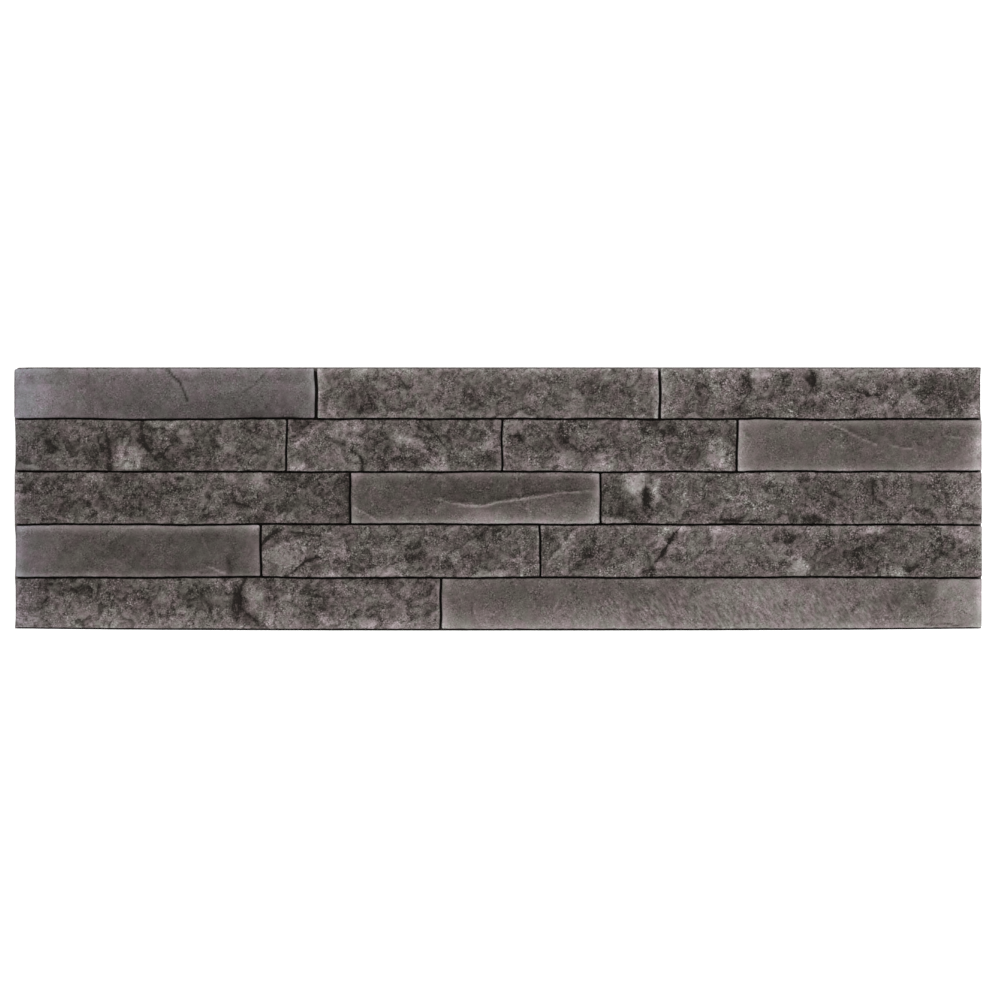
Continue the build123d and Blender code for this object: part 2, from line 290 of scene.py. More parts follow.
            (-267, 10, 3, 4, -0.9), (-253, -13, 7, 3, -1.3), (-255, 7, 4, 4, -0.5), (-246, 3, 6, 3, -0.7),
            (-224, -2, 4, 4, -0.7), (-229, -9, 3, 4, -0.6), (-217, 5, 3, 3, -0.7), (-205, 3, 3, 5, -0.8),
            (-209, -6, 4, 4, -0.6), (-213, 14, 8, 2, -0.8), (-192, -8, 4, 4, -0.6), (-167, -10, 4, 4, -0.9),
            (-146, -3, 5, 3, -1.2), (-139, -12, 6, 3, -1.2), (-117, 14, 9, 3, -1.0), (-104, 14, 8, 3, -1.0),
        ],
        "lines": [
            ([(-183, 6), (-176, 5), (-168, 7)], 1.0, -0.6), ([(-150, -2), (-142, -4)], 1.1, -0.8),
            ([(-226, 3), (-222, -4), (-229, -9)], 1.1, -0.6),
        ],
        "stainsAndPaintedShading": [
            (-250, 2, 12, 8, -10), (-228, 13, 6, 4, 15), (-213, 12, 8, 4, -15), (-205, 0, 12, 10, -8),
            (-253, -12, 6, 3, -18), (-243, -12, 6, 4, 11), (-222, -10, 5, 6, 5), (-190, 3, 12, 8, -8),
            (-190, -11, 6, 4, 7), (-166, 0, 8, 8, 9), (-163, -7, 5, 4, 9), (-152, 12, 5, 5, 18),
            (-136, 10, 7, 7, 18), (-147, -3, 8, 4, -15), (-138, -12, 7, 3, -19), (-117, 13, 12, 4, -23),
            (-108, 3, 18, 8, -10), (-120, -11, 6, 5, 9), (-128, -4, 7, 6, -6), (-89, 0, 5, 14, -12),
        ],
    },
    (3, 2): {
        "finish": "riven", "length": 142.0, "tonesAndPaintedLight": (71, 38, 40, 36, 62, 22),
        "lines": [
            ([(-57, 3.4), (-50, -0.6), (-42, -1.6)], 0.6, 0.2),
            ([(-36, 0.4), (-30, -1.2), (-22, -3.3)], 0.6, 0.4),
            ([(-22, -3.3), (-13, -4), (-7, -4), (-1.6, -2), (10, -0.5), (21, 0.9), (27, 1.7)], 0.85, 0.75),
            ([(27, 1.7), (35, 3.4), (48, 4.2), (54, 4.5)], 0.65, 0.45),
            ([(-82, -4.5), (-76, -8), (-70, -11.5)], 0.6, 0.4),
        ],
        "stainsAndPaintedShading": [
            (5, 8, 48, 6, -9), (-6, -12, 16, 6, 20), (30, -13, 25, 4, 8), (-36, 14, 7, 2, -16),
            (-52, -4, 28, 11, -5), (54, -9, 9, 8, 12),
        ],
    },
    (3, 3): {
        "finish": "split", "length": end, "tonesAndPaintedLight": (82, 22, 18, 8, 44, 0), "grain": 1.1,
        "outlined": [(77, 9.5, 7, 5.5, 12), (90.5, 6, 4.5, 6, 9), (84.6, 1.5, 1.8, 4.5, -16)],
        "forms": [
            (78, 9, 6, 6, 0.9), (89, 1, 3, 5, 1.0), (79, -2, 4, 3, 0.5), (65, -12, 6, 3, 0.6),
            (103, 3, 4, 4, 0.7), (99, -10, 5, 4, 0.6), (140, 0, 4, 3, 0.7), (135, -5, 4, 3, 0.6),
            (129, -5, 3, 3, 0.5), (149, 1, 4, 3, 0.6), (153, -7, 4, 4, 0.6), (225, -6, 4, 4, 0.6),
            (241, 12, 5, 3, 0.7), (262, 12, 7, 3, 0.6), (84, -1, 3, 6, -1.3), (86, 8, 3, 3, -0.6),
            (68, -2, 5, 5, -0.7), (78, -10, 6, 3, -0.6), (137, -13, 10, 3, -1.3), (177, -12, 7, 3, -1.3),
            (192, 2, 5, 2, -0.8), (212, 6, 3, 5, -0.8), (224, 14, 4, 2, -0.7),
        ],
        "lines": [
            ([(62, 6), (68, -1), (73, -5), (80, -9)], 1.6, -0.6),
            ([(84, 6), (84, -3), (88, -6)], 1.3, -1.0), ([(127, -12), (138, -13), (149, -12)], 1.1, -0.9),
            ([(186, 4), (192, 2), (197, -1)], 0.9, -0.7), ([(212, 11), (213, 3)], 0.9, -0.7),
            ([(175, 6), (178, 0)], 0.9, -0.6),
        ],
        "stainsAndPaintedShading": [
            (64, 0, 9, 13, -16), (77, 9, 8, 7, 34), (84.6, 2, 2.6, 4.5, -34), (74, -5, 9, 5, -20),
            (82, -10, 8, 5, -18), (65, -12, 7, 4, 14), (91, 6, 4.5, 8, 26), (104, 2, 7, 6, 9),
            (122, 12, 8, 4, -11), (138, 0, 14, 7, 13), (136, -13, 12, 3, -26), (160, 12, 10, 4, 13),
            (178, 4, 10, 6, -15), (190, 8, 8, 5, -8), (177, -12, 8, 3, -28), (150, -6, 6, 6, 6),
            (212, 6, 6, 9, -17), (222, 13, 5, 3, 9), (192, -3, 12, 6, -6), (245, 4, 10, 8, -6),
            (270, 10, 6, 6, 12), (268, -2, 9, 12, 17),
        ],
    },
    (4, 1): {
        "finish": "riven", "length": 140.5, "tonesAndPaintedLight": (72, 56, 42, 44, 34, 0), "drawnBack": (0.0, 0.25),
        "cool": (0.1, 0.8), "grain": 0.75,
        "scaly": [(-200, -35, 30, 8, 0.4)],
        "lines": [
            ([(-232, -24), (-219, -33), (-207, -41)], 0.6, 0.12), ([(-170, -19), (-161, -36)], 0.6, 0.16),
            ([(-164, -38.5), (-159, -40.8), (-155, -42.4)], 0.8, 0.5),
            ([(-153, -36), (-151, -42)], 1.2, -0.3),
        ],
        "stainsAndPaintedShading": [
            (-205, -28, 38, 8, -6), (-162, -24, 22, 8, -7), (-151, -37, 5, 8, -14), (-161, -40, 5, 2, 12),
            (-270, -30, 22, 20, 11), (-196, -38, 14, 5, -4),
        ],
    },
    (4, 2): {
        "finish": "split", "length": 158.2, "tonesAndPaintedLight": (80, 18, 26, 14, 32, 6), "grain": 1.06,
        "outlined": [(-120.8, -31, 5.8, 5.8, 13), (-120, -33, 11, 9.5, 8)],
        "forms": [
            (-62, -28, 6, 5, 0.7), (-62, -41, 8, 3, 0.8), (-36, -33, 5, 6, 0.6), (-17, -28, 8, 4, 0.5),
            (-6, -22, 3, 3, 0.9), (8, -30, 5, 4, 0.6), (2, -43, 8, 2, 0.8), (14, -37, 4, 5, 0.6),
            (-34, -42, 3, 2, 0.7), (-82, -28, 8, 3, 0.4), (-83, -36, 6, 6, -0.5), (-66, -36, 3, 4, -0.5),
            (-49, -35, 4, 5, -0.9), (-44, -30, 4, 6, -0.6), (-10, -19, 4, 6, -1.4), (-2, -17, 6, 3, -1.4),
            (-12, -33, 3, 3, -0.7), (18, -21, 5, 4, -0.9), (20, -43, 6, 3, -1.0), (-25, -36, 7, 4, -0.5),
        ],
        "lines": [
            ([(-134.5, -26.5), (-131.5, -22.5), (-128, -19.6), (-124, -18)], 1.6, -1.1),
            ([(-124, -18), (-117, -19), (-110.4, -19.8), (-101, -21)], 1.2, -0.65),
            (
                [(-121, -44), (-117, -41.8), (-113.7, -39.2),
                 (-109.5, -35.7), (-104.5, -33.6), (-101, -33.4)],
                1.7, -1.25,
            ),
            (
                [(-126, -36), (-121, -38.5), (-115.5, -36), (-113.5, -31), (-116, -26.5), (-121, -25)],
                0.7, 0.55,
            ),
            ([(-118, -41), (-111.5, -36), (-109.5, -31), (-112.5, -26)], 0.7, 0.5),
            ([(-86, -31), (-87, -37), (-82, -42)], 0.9, -0.6),
            ([(-68, -44), (-62, -38), (-57, -36)], 0.7, -0.5),
            ([(-98, -26), (-90, -27), (-85, -29)], 0.9, -0.6), ([(-78, -43), (-70, -37)], 0.8, -0.4),
        ],
        "stainsAndPaintedShading": [
            (-128, -21, 8, 4, -24), (-110, -19, 12, 3, -13), (-121, -32, 8, 8, 5), (-106, -39, 6, 5, -20),
            (-95, -28, 10, 4, 11), (-78, -35, 8, 6, -9), (-62, -28, 8, 4, 7), (-60, -42, 8, 4, 15),
            (-47, -32, 6, 8, -15), (-40, -15, 12, 2, -14), (-95, -43, 6, 3, 9), (-30, -28, 8, 6, 7),
            (-8, -18, 10, 5, -38), (-12, -33, 6, 5, -9), (3, -16, 9, 2, -20), (8, -30, 8, 8, 3),
            (20, -43, 8, 3, -17), (0, -43, 10, 2, 13), (-96, -30, 20, 12, 6),
        ],
    },
    (4, 3): {
        "finish": "split", "length": end, "tonesAndPaintedLight": (83, 24, 12, 18, 50, 0), "drawnBack": (0.1, 0.0),
        "grain": 1.08,
        "forms": [
            (40, -24, 4, 7, 0.9), (28, -36, 4, 4, 0.6), (37, -40, 6, 3, 0.7), (58, -33, 3, 3, 0.8),
            (52, -35, 3, 2, 0.7), (60, -42, 8, 3, 0.6), (71, -40, 5, 4, 0.7), (80, -36, 5, 6, 0.7),
            (92, -24, 4, 4, 0.9), (99, -28, 4, 4, 0.9), (105, -20, 5, 4, 0.8), (128, -19, 7, 4, 0.8),
            (160, -30, 5, 5, 0.6), (157, -39, 5, 4, 0.6), (172, -39, 4, 6, 1.1), (178, -18, 7, 3, 0.7),
            (189, -42, 8, 3, 0.5), (216, -18, 6, 3, 1.1), (225, -42, 7, 3, 0.9), (268, -20, 7, 5, 0.9),
            (92, -42, 4, 5, 0.9), (29, -22, 6, 6, -0.8), (42, -32, 3, 4, -0.7), (51, -30, 4, 3, -1.2),
            (49, -38, 4, 4, -0.7), (61, -37, 4, 4, -0.6), (84, -20, 3, 3, -0.6), (86, -42, 4, 3, -1.3),
            (115, -28, 4, 5, -0.6), (165, -22, 4, 3, -1.4), (163, -38, 4, 3, -0.7), (205, -33, 5, 6, -0.9),
            (213, -38, 4, 5, -0.9), (192, -33, 6, 3, -0.6), (226, -17, 5, 3, -1.1), (235, -40, 4, 4, -1.0),
            (252, -23, 3, 3, -0.8), (265, -30, 4, 3, -1.0),
        ],
        "lines": [
            ([(86.5, -43.5), (88.3, -36.9), (93, -32)], 1.3, -0.8),
            ([(93, -32), (98.8, -21.7), (101, -19)], 2.4, -1.5), ([(167, -24), (167, -31)], 0.9, -0.7),
            ([(197, -38), (203, -44)], 0.9, -0.7), ([(31, -33), (37, -28), (43, -19)], 1.5, 0.7),
            ([(242, -30), (248, -36)], 0.9, -0.5),
        ],
        "stainsAndPaintedShading": [
            (27, -20, 6, 5, -17), (38, -26, 6, 9, 15), (54, -31, 8, 9, -17), (40, -40, 8, 4, 5),
            (74, -39, 8, 6, 13), (92, -25, 6, 6, 12), (85, -41, 5, 4, -30), (100, -18, 10, 4, 27),
            (128, -18, 10, 4, 24), (45, -30, 26, 14, -8), (115, -28, 12, 14, 12), (140, -26, 26, 14, 6),
            (172, -30, 8, 14, 7), (213, -30, 20, 14, -6), (268, -30, 8, 14, 8), (130, -40, 8, 5, -8),
            (100, -40, 10, 4, 7), (163, -21, 9, 4, -22), (160, -31, 6, 6, 9), (172, -39, 5, 7, 28),
            (190, -30, 12, 7, -12), (208, -32, 10, 9, -23), (213, -17, 7, 3, 30), (226, -19, 8, 4, -14),
            (236, -32, 6, 6, 9), (235, -40, 6, 4, -16), (225, -42, 5, 3, 19), (250, -34, 7, 10, -12),
            (265, -20, 6, 5, 24), (268, -30, 5, 4, -12),
        ],
    },
    (5, 1): {
        "finish": "split", "length": 242.5, "tonesAndPaintedLight": (81, 0, 16, 34, 22, 20), "drawnBack": (0.0, 0.2),
        "cool": (0.0, 0.5), "grain": 0.9,
        "forms": [
            (-246, -58, 5, 3, 0.7), (-235, -57, 3, 3, 0.7), (-222, -66, 5, 4, 0.9), (-188, -55, 4, 4, 1.0),
            (-181, -47, 4, 2, 0.7), (-160, -47, 4, 3, 0.9), (-149, -47, 4, 2, 0.8), (-139, -58, 3, 5, 0.9),
            (-131, -67, 4, 5, 0.9), (-180, -70, 3, 6, 0.7), (-153, -66, 4, 3, 0.7), (-120, -60, 4, 5, 0.7),
            (-115, -70, 7, 3, 0.8), (-96, -68, 6, 4, 0.9), (-63, -55, 4, 4, 0.7), (-52, -52, 4, 4, 0.6),
            (-74, -71, 7, 4, 1.1), (-58, -72, 6, 3, 1.0), (-268, -68, 7, 5, 0.6), (-252, -47, 9, 3, -1.0),
            (-232, -48, 6, 4, -1.0), (-258, -55, 4, 6, -0.7), (-192, -46, 4, 3, -0.9),
            (-172, -54, 6, 5, -0.7), (-166, -60, 4, 5, -0.6), (-148, -60, 3, 8, -1.4),
            (-140, -68, 5, 4, -0.7), (-129, -57, 4, 3, -0.9), (-102, -59, 6, 5, -0.8),
            (-109, -52, 4, 4, -0.6), (-106, -67, 3, 4, -0.7), (-70, -46, 8, 3, -1.3),
            (-82, -65, 4, 3, -0.9), (-71, -64, 3, 4, -0.9), (-58, -64, 4, 3, -0.7), (-43, -54, 4, 3, -0.7),
        ],
        "lines": [
            ([(-143.5, -45), (-147.3, -54.5), (-146.4, -62)], 2.3, -1.05),
            ([(-146.4, -62), (-137, -69.6), (-130.3, -73.4)], 2.2, -0.95),
            ([(-226, -46), (-228, -56)], 1.2, -0.7), ([(-256, -46), (-257, -56)], 1.1, -0.6),
            ([(-175, -50), (-169, -57), (-166, -64)], 1.2, -0.7), ([(-107, -58), (-105, -66)], 1.0, -0.6),
            ([(-84, -74), (-81, -64)], 0.9, -0.5),
        ],
        "stainsAndPaintedShading": [
            (-250, -50, 12, 6, -23), (-232, -50, 8, 7, -18), (-268, -64, 6, 8, 11), (-245, -62, 10, 6, 9),
            (-222, -68, 14, 5, 12), (-215, -52, 12, 6, -8), (-205, -60, 8, 8, -9), (-188, -55, 5, 5, 14),
            (-172, -55, 9, 7, -17), (-180, -68, 6, 6, 9), (-160, -47, 8, 3, 9), (-147, -58, 5, 10, -38),
            (-140, -70, 8, 4, -28), (-138, -57, 5, 6, 20), (-127, -67, 8, 5, 17), (-130, -54, 5, 5, -17),
            (-118, -58, 6, 7, 12), (-103, -58, 9, 8, -17), (-108, -68, 5, 5, -11), (-70, -46, 9, 3, -28),
            (-95, -70, 6, 4, 13), (-75, -71, 8, 4, 15), (-55, -71, 8, 4, 18), (-58, -55, 15, 6, 6),
            (-85, -64, 6, 4, -5), (-190, -58, 8, 12, -7), (-86, -57, 8, 12, 9),
        ],
    },
    (5, 2): {
        "finish": "riven", "length": end, "tonesAndPaintedLight": (84, 14, 16, 32, 56, 34), "grain": 1.15,
        "scaly": [(150, -62, 95, 14, 1.25), (60, -66, 40, 8, 0.6)],
        "lines": [
            ([(243, -71.5), (250, -72.1)], 0.9, -0.5), ([(251, -71), (258, -71.5)], 0.8, -0.5),
            ([(258, -72.6), (264, -72)], 0.8, -0.5), ([(34, -59), (32, -63)], 0.7, 0.3),
        ],
        "stainsAndPaintedShading": [
            (140, -52, 30, 9, 16), (158, -60, 34, 10, 9), (200, -54, 34, 10, 8), (75, -50, 16, 5, -6),
            (8, -60, 26, 14, -7), (236, -60, 14, 10, -8), (253, -72, 11, 2, -14), (265, -54, 16, 12, 26),
            (60, -52, 22, 7, -5),
        ],
    },
}


# Places of the strips

def layOut():
    # the foot of every strip on the floor of the joints, from the top course down
    strips = []
    start, rowTop = cadLow.x / mm, cadHigh.y / mm
    half = tile["jointFloor"] / 2
    for (row, place), given in tile["strips"].items():
        last = given["length"] is end
        stop = cadHigh.x / mm if last else start + given["length"]
        insetLeft, insetRight = tile["endInsets"][row - 1]
        strip = {**tile["plainStrip"], **given}
        backLeft, backRight = strip["drawnBack"]
        strip["left"] = start + (insetLeft if place == 1 else half) + backLeft
        strip["right"] = stop - (insetRight if last else half) - backRight
        strip["top"] = rowTop - (tile["flushEdge"] if row == 1 else 0.0)
        strip["bottom"] = rowTop - tile["courseHeight"] + tile["bedJoint" if row < 5 else "lowerLedge"]
        strip["outerSides"] = (place == 1, last, row == 1)
        strips.append(strip)
        start = stop
        if last:
            start, rowTop = cadLow.x / mm, rowTop - tile["courseHeight"]
    return strips


def spacing(low, high, cell):
    # places of the mesh lines, drawn together at both ends where the edge is worn
    outer, inner = tile["edgeLines"]
    start, stop = low + inner, high - inner
    count = max(2, round((stop - start) / cell))
    middle = [start + (stop - start) * i / count for i in range(count + 1)]
    return [low, low + outer, *middle, high - outer, high]


# Relief of the faces

def noiseAt(x, y, size, layer):
    return noise.noise(Vector((x / size, y / size, layer)))


def easeOut(away, reach):
    return max(0.0, 1.0 - away / reach) ** 2


def fallOff(x, y, form, soft=0.8):
    centreX, centreY, halfLength, halfWidth, height = form
    away = hypot((x - centreX) / halfLength, (y - centreY) / halfWidth)
    share = min(1.0, max(0.0, (1.35 - away) / soft))
    return height * share * share * (3.0 - 2.0 * share)


def lineDistance(x, y, points):
    # how far off the line, and minus on its right-hand side
    nearest = 1e9
    for (ax, ay), (bx, by) in zip(points, points[1:]):
        runX, runY = bx - ax, by - ay
        along = ((x - ax) * runX + (y - ay) * runY) / (runX * runX + runY * runY)
        along = min(1.0, max(0.0, along))
        away = hypot(x - ax - along * runX, y - ay - along * runY)
        if away < abs(nearest):
            nearest = away if runX * (y - ay) > runY * (x - ax) else -away
    return nearest


def lineReach(x, y, marks):
    # half widths to the nearest crack and its depth, and to the nearest ledge and its height
    crack, cut, ledge, lip = 6.0, 0.0, 9.0, 0.0
    for points, halfWidth, amount in marks:
        away = lineDistance(x, y, points) / halfWidth
        if amount > 0 and abs(away) < abs(ledge):
            ledge, lip = away, amount
        elif amount < 0 and abs(away) < abs(crack):
            crack, cut = away, -amount
    return crack, cut, ledge, lip


def flake(x, y, layer, size, slope, step):
    # tilted flats with small steps between them, as stone breaks
    place = Vector((x / size, y / size, layer))
    distances, centres = noise.voronoi(place)
    heights = []
    for centre in centres[:2]:
        tilt = noise.noise_vector(centre * 17.0)
        lift = noise.noise(centre * 29.0)
        heights.append(((place - centre) @ tilt) * size * slope * 2.0 + lift * step * 2.0)
    blend = min(1.0, (distances[1] - distances[0]) / 0.16)
    return heights[0] + (heights[1] - heights[0]) * 0.5 * (1.0 - blend)


def relief(x, y, number, finish, forms, marks):
    layer = number * 7.31
    place = Vector((x, y, layer * 10.0))
    warp = noise.noise_vector(place / 7.0) * 2.6 + noise.noise_vector(place / 2.4) * 0.7
    height = 0.0
    for size, slope, step in finish["flakes"]:
        height += flake(x + warp.x, y + warp.y, layer, size, slope, step)
    size, amount = finish["swell"]
    height += amount * noise.fractal(place / size, 0.9, 2.1, 4)
    size, amount = finish["creases"]
    height -= amount * abs(noise.noise(place / size)) + amount * 0.4 * abs(noise.noise(place / size * 2.3))
    size, amount = finish["grit"]
    height += amount * noise.fractal(place / size, 0.4, 2.2, 2)
    for form in forms:
        height += tile["formHeight"] * fallOff(x + warp.x * 0.6, y + warp.y * 0.6, form)
    for points, halfWidth, amount in marks:
        away = lineDistance(x + warp.x * 0.2, y + warp.y * 0.2, points) / halfWidth
        if abs(away) < 2.5:
            height += 0.6 * amount * exp(-away * away)
    return height


def toneAt(strip, x, y, sides):
    # how light the stone is here, from its place in the strip
    left, right, bottom, top = sides
    base, upperEdge, lowerEdge, leftEnd, rightEnd, paintedLightOnLowerHalf = strip["tonesAndPaintedLight"]
    finish = tile["finishes"][strip["finish"]]
    reach = finish["endReach"]
    upperReach, lowerReach = tile["edgeLighteningReach"]
    # edges and ends worn paler; the lower edge and the right end gain painted light besides, as lit from
    # below and to the right
    tone = base + (1.0 + 0.5 * noiseAt(x, y, 9.0, base)) * (
        upperEdge * easeOut(top - y, upperReach) + lowerEdge * easeOut(y - bottom, lowerReach)
        + leftEnd * easeOut(x - left, reach) + rightEnd * easeOut(right - x, reach))
    # painted light over the lower half, as lit from below
    tone += paintedLightOnLowerHalf * max(0.0, 1.0 - 1.7 * (y - bottom) / (top - bottom)) ** 1.3
    warp = noise.noise_vector(Vector((x / 6.0, y / 6.0, base))) * 4.0
    warp += noise.noise_vector(Vector((x / 2.2, y / 2.2, base))) * 1.8
    added = 0.0
    # stains, some of them painted light on lumps and painted shade beside them, then the lightness of the
    # forms
    for strength, forms in (("stainAndShadingStrength", strip["stainsAndPaintedShading"]), ("formTone", strip["forms"])):
        for form in forms:
            added += tile[strength] * fallOff(x + warp.x, y + warp.y, form)
    # patchy, and never quite black
    added *= 1.0 + finish["patchy"] * noiseAt(x, y, 3.6, base + 5.0)
    # outlined lumps, their lightness partly painted light on their faces
    for form in strip["outlined"]:
        tone += fallOff(x + warp.x * 0.15, y + warp.y * 0.15, form, 0.4)
    darkest = tile["darkest"]
    return tone + (added if added > 0 else -darkest * (1.0 - exp(added / darkest)))


# The mesh of the casting

class Layers:
    def __init__(self, bm):
        self.outward = bm.verts.layers.float_vector.new("outward")
        for name in (
                "cavity", "broad", "tone", "hue", "cool", "scales", "grain", "depth", "strip", "crack", "cut",
                "ledge", "lip"):
            setattr(self, name, bm.verts.layers.float.new(name))


def solidFace(node):
    corners = [v.co / mm for v in node.data.vertices]
    return BVHTree.FromPolygons(corners, [tuple(p.vertices) for p in node.data.polygons])


def sampleSolid(face, x, y):
    # a ray down the seam of two triangles, or where the solid's corner is broken off, goes on inwards
    for inward in (0.0, 0.01, 0.5, 2.0, 4.0):
        start = Vector((x - inward * (1 if x > 0 else -1), y - inward * (1 if y > 0 else -1), 100.0))
        hit = face.ray_cast(start, Vector((0, 0, -1)))[0]
        if hit:
            return hit.z


def smoothHeights(bm, verts, passes):
    for _ in range(passes):
        bmesh.ops.smooth_vert(bm, verts=verts, factor=0.5, use_axis_z=True)


def roundCorner(x, y, cornerX, cornerY, signX, signY, radius):
    # draws a square corner, pointing the way of its signs, on to a quarter circle
    alongX, alongY = 1 - signX * (cornerX - x) / radius, 1 - signY * (cornerY - y) / radius
    if alongX <= 0 or alongY <= 0:
        return x, y
    newX = alongX * sqrt(max(0.0, 1 - alongY**2 / 2))
    newY = alongY * sqrt(max(0.0, 1 - alongX**2 / 2))
    return x + signX * (newX - alongX) * radius, y + signY * (newY - alongY) * radius


def addGrid(bm, xs, ys):
    # a sheet with its mesh lines at the given places
    grid = bmesh.ops.create_grid(bm, x_segments=len(xs) - 1, y_segments=len(ys) - 1, size=0.5)["verts"]
    for v in grid:
        x, y = xs[round((v.co.x + 0.5) * (len(xs) - 1))], ys[round((v.co.y + 0.5) * (len(ys) - 1))]
        yield v, x, y


def openEdges(verts):
    return [e for e in dict.fromkeys(e for v in verts for e in v.link_edges) if e.is_boundary]


def addRing(bm, edges):
    # one more row of faces on the open edges: its new edges and points
    made = bmesh.ops.extrude_edge_only(bm, edges=edges)["geom"]
    edges = [g for g in made if isinstance(g, bmesh.types.BMEdge) and g.is_boundary]
    return edges, [g for g in made if isinstance(g, bmesh.types.BMVert)]


def addStrip(bm, layers, strip, number, solid):
    finish = tile["finishes"][strip["finish"]]
    lean = tile["wallLean"]
    outerLeft, outerRight, outerTop = strip["outerSides"]
    left, right = strip["left"] + lean * (not outerLeft), strip["right"] - lean * (not outerRight)
    bottom, top = strip["bottom"] + lean, strip["top"] - lean * (not outerTop)
    # the face takes the solid's flats, sampled clear of its worn edge
    clear = tile["arris"] + 0.5
    grid = []
    for v, x, y in addGrid(bm, spacing(left, right, finish["cell"]), spacing(bottom, top, finish["cell"])):
        sampleX = min(right - clear, max(left + clear, x))
        sampleY = min(top - clear, max(bottom + clear, y))
        v.co = (x, y, sampleSolid(solid, sampleX, sampleY))
        v[layers.strip] = number
        outX = (x == right and not outerRight) - (x == left and not outerLeft)
        v[layers.outward] = (outX, (y == top and not outerTop) - (y == bottom), 0.0)
        grid.append(v)
    smoothHeights(bm, grid, finish["settle"])
    room = cadHigh.z / mm - tile["softTop"]
    for v in grid:
        height = v.co.z + relief(v.co.x, v.co.y, number, finish, strip["forms"], strip["lines"])
        over = height - tile["softTop"]
        v.co.z = tile["softTop"] + room * (1.0 - exp(-over / room)) if over > 0 else height
    # how far each point lies below or above what is round it, near by and further off
    heights = [v.co.z for v in grid]
    smoothHeights(bm, grid, 5)
    near = [v.co.z for v in grid]
    smoothHeights(bm, grid, 45)
    for v, height, nearHeight in zip(grid, heights, near):
        v[layers.cavity] = height - nearHeight
        v[layers.broad] = nearHeight - v.co.z
        v.co.z = height
    # worn edge, spalled here and there, and corners a little rounded
    sides = left, right, bottom, top
    corners = []
    for cornerX, signX in ((left, -1), (right, 1)):
        for cornerY, signY in ((bottom, -1), (top, 1)):
            radius = tile["stripCorner"] * (1.2 + noiseAt(cornerX, cornerY, 1.0, 4.4))
            corners.append((cornerX, cornerY, signX, signY, radius))
    evenly, atEnd = strip["cool"]
    rimReach = tile["rimReach"]
    for v in grid:
        x, y = v.co.x, v.co.y
        rim = outerLeft * easeOut(x - left, rimReach) + outerRight * easeOut(right - x, rimReach)
        v[layers.tone] = toneAt(strip, x, y, sides) - tile["rimShade"] * rim
        v[layers.hue] = strip["mauve"]
        v[layers.grain] = strip["grain"]
        v[layers.cool] = evenly + atEnd * easeOut(x - left, tile["coolReach"])
        v[layers.scales] = sum(fallOff(x, y, place) for place in strip["scaly"])
        v[layers.crack], v[layers.cut], v[layers.ledge], v[layers.lip] = lineReach(x, y, strip["lines"])
        edge = min(x - left, right - x, y - bottom, top - y)
        spot = noiseAt(x, y, 5.0, number * 3.7)
        worn = finish["wornEdge"] * (1.0 + 0.4 * spot) + finish["spalls"] * max(0.0, spot - 0.25) * 2.0
        if edge < worn:
            v.co.z -= worn * (1.0 - sqrt(max(0.0, 1.0 - (1.0 - edge / worn) ** 2)))
        ragged = easeOut(edge, 3.0) * tile["ragged"] * (0.3 + noiseAt(x, y, 3.1, number * 1.9))
        if outerTop and top - y < 3.0:
            bite = max(0.0, noise.noise(Vector((x / 2.2, number, 6.0))))
            ragged += easeOut(top - y, 3.0) * bite * tile["raggedTop"]
        v.co.y += ragged * ((y - bottom < top - y) - (y - bottom > top - y))
        for corner in corners:
            v.co.x, v.co.y = roundCorner(v.co.x, v.co.y, *corner)
    # walls down to the floor of the joints
    rings = tile["wallRings"]
    edges = openEdges(grid)
    for ring in range(1, rings + 1):
        edges, foot = addRing(bm, edges)
        for v in foot:
            v.co += v[layers.outward] * lean / rings
            drop = (v.co.z - tile["slabThickness"]) / (rings + 1 - ring) ** 2
            v.co.z -= drop
            # the lowest course has its lower side in the open, so stain hardly gathers there
            bare = v[layers.outward].y < 0 and bottom - cadLow.y / mm < 2.0
            v[layers.depth] += drop * (tile["bareStain"] if bare else 1.0)


def addSlab(bm, layers):
    low, high = cadLow / mm, cadHigh / mm
    cell, upperSlope = tile["slabCell"], tile["upperSlope"]
    back = []
    for v, x, y in addGrid(bm, spacing(low.x, high.x, cell), spacing(low.y, high.y, cell)):
        v.co = (x, y, 0.0)
        v[layers.strip] = -1
        v[layers.outward] = ((x == high.x) - (x == low.x), (y == high.y) - (y == low.y), 0.0)
        back.append(v)
    # sides of the slab, ring by ring, stained along their top
    edges = openEdges(back)
    for height in (*tile["slabRings"], tile["slabThickness"]):
        edges, ring = addRing(bm, edges)
        for v in ring:
            v.co.z = height
            if height == tile["slabRings"][-1]:
                v.co.y -= upperSlope * max(0.0, 1.0 - (high.y - v.co.y) / tile["edgeLines"][1])
            if height == tile["slabThickness"]:
                v[layers.depth] = 3.0
    # the back is cast against a board, so it is flat but for shallow hollows, and its arris is worn
    for v in back:
        inward = min(v.co.x - low.x, high.x - v.co.x, v.co.y - low.y, high.y - v.co.y)
        hollow = noiseAt(v.co.x, v.co.y, 31.0, 8.8)
        v.co.z = tile["backHollow"] * max(0.0, hollow) * min(1.0, inward / 12.0)
        v.co -= v[layers.outward] * tile["backArris"]


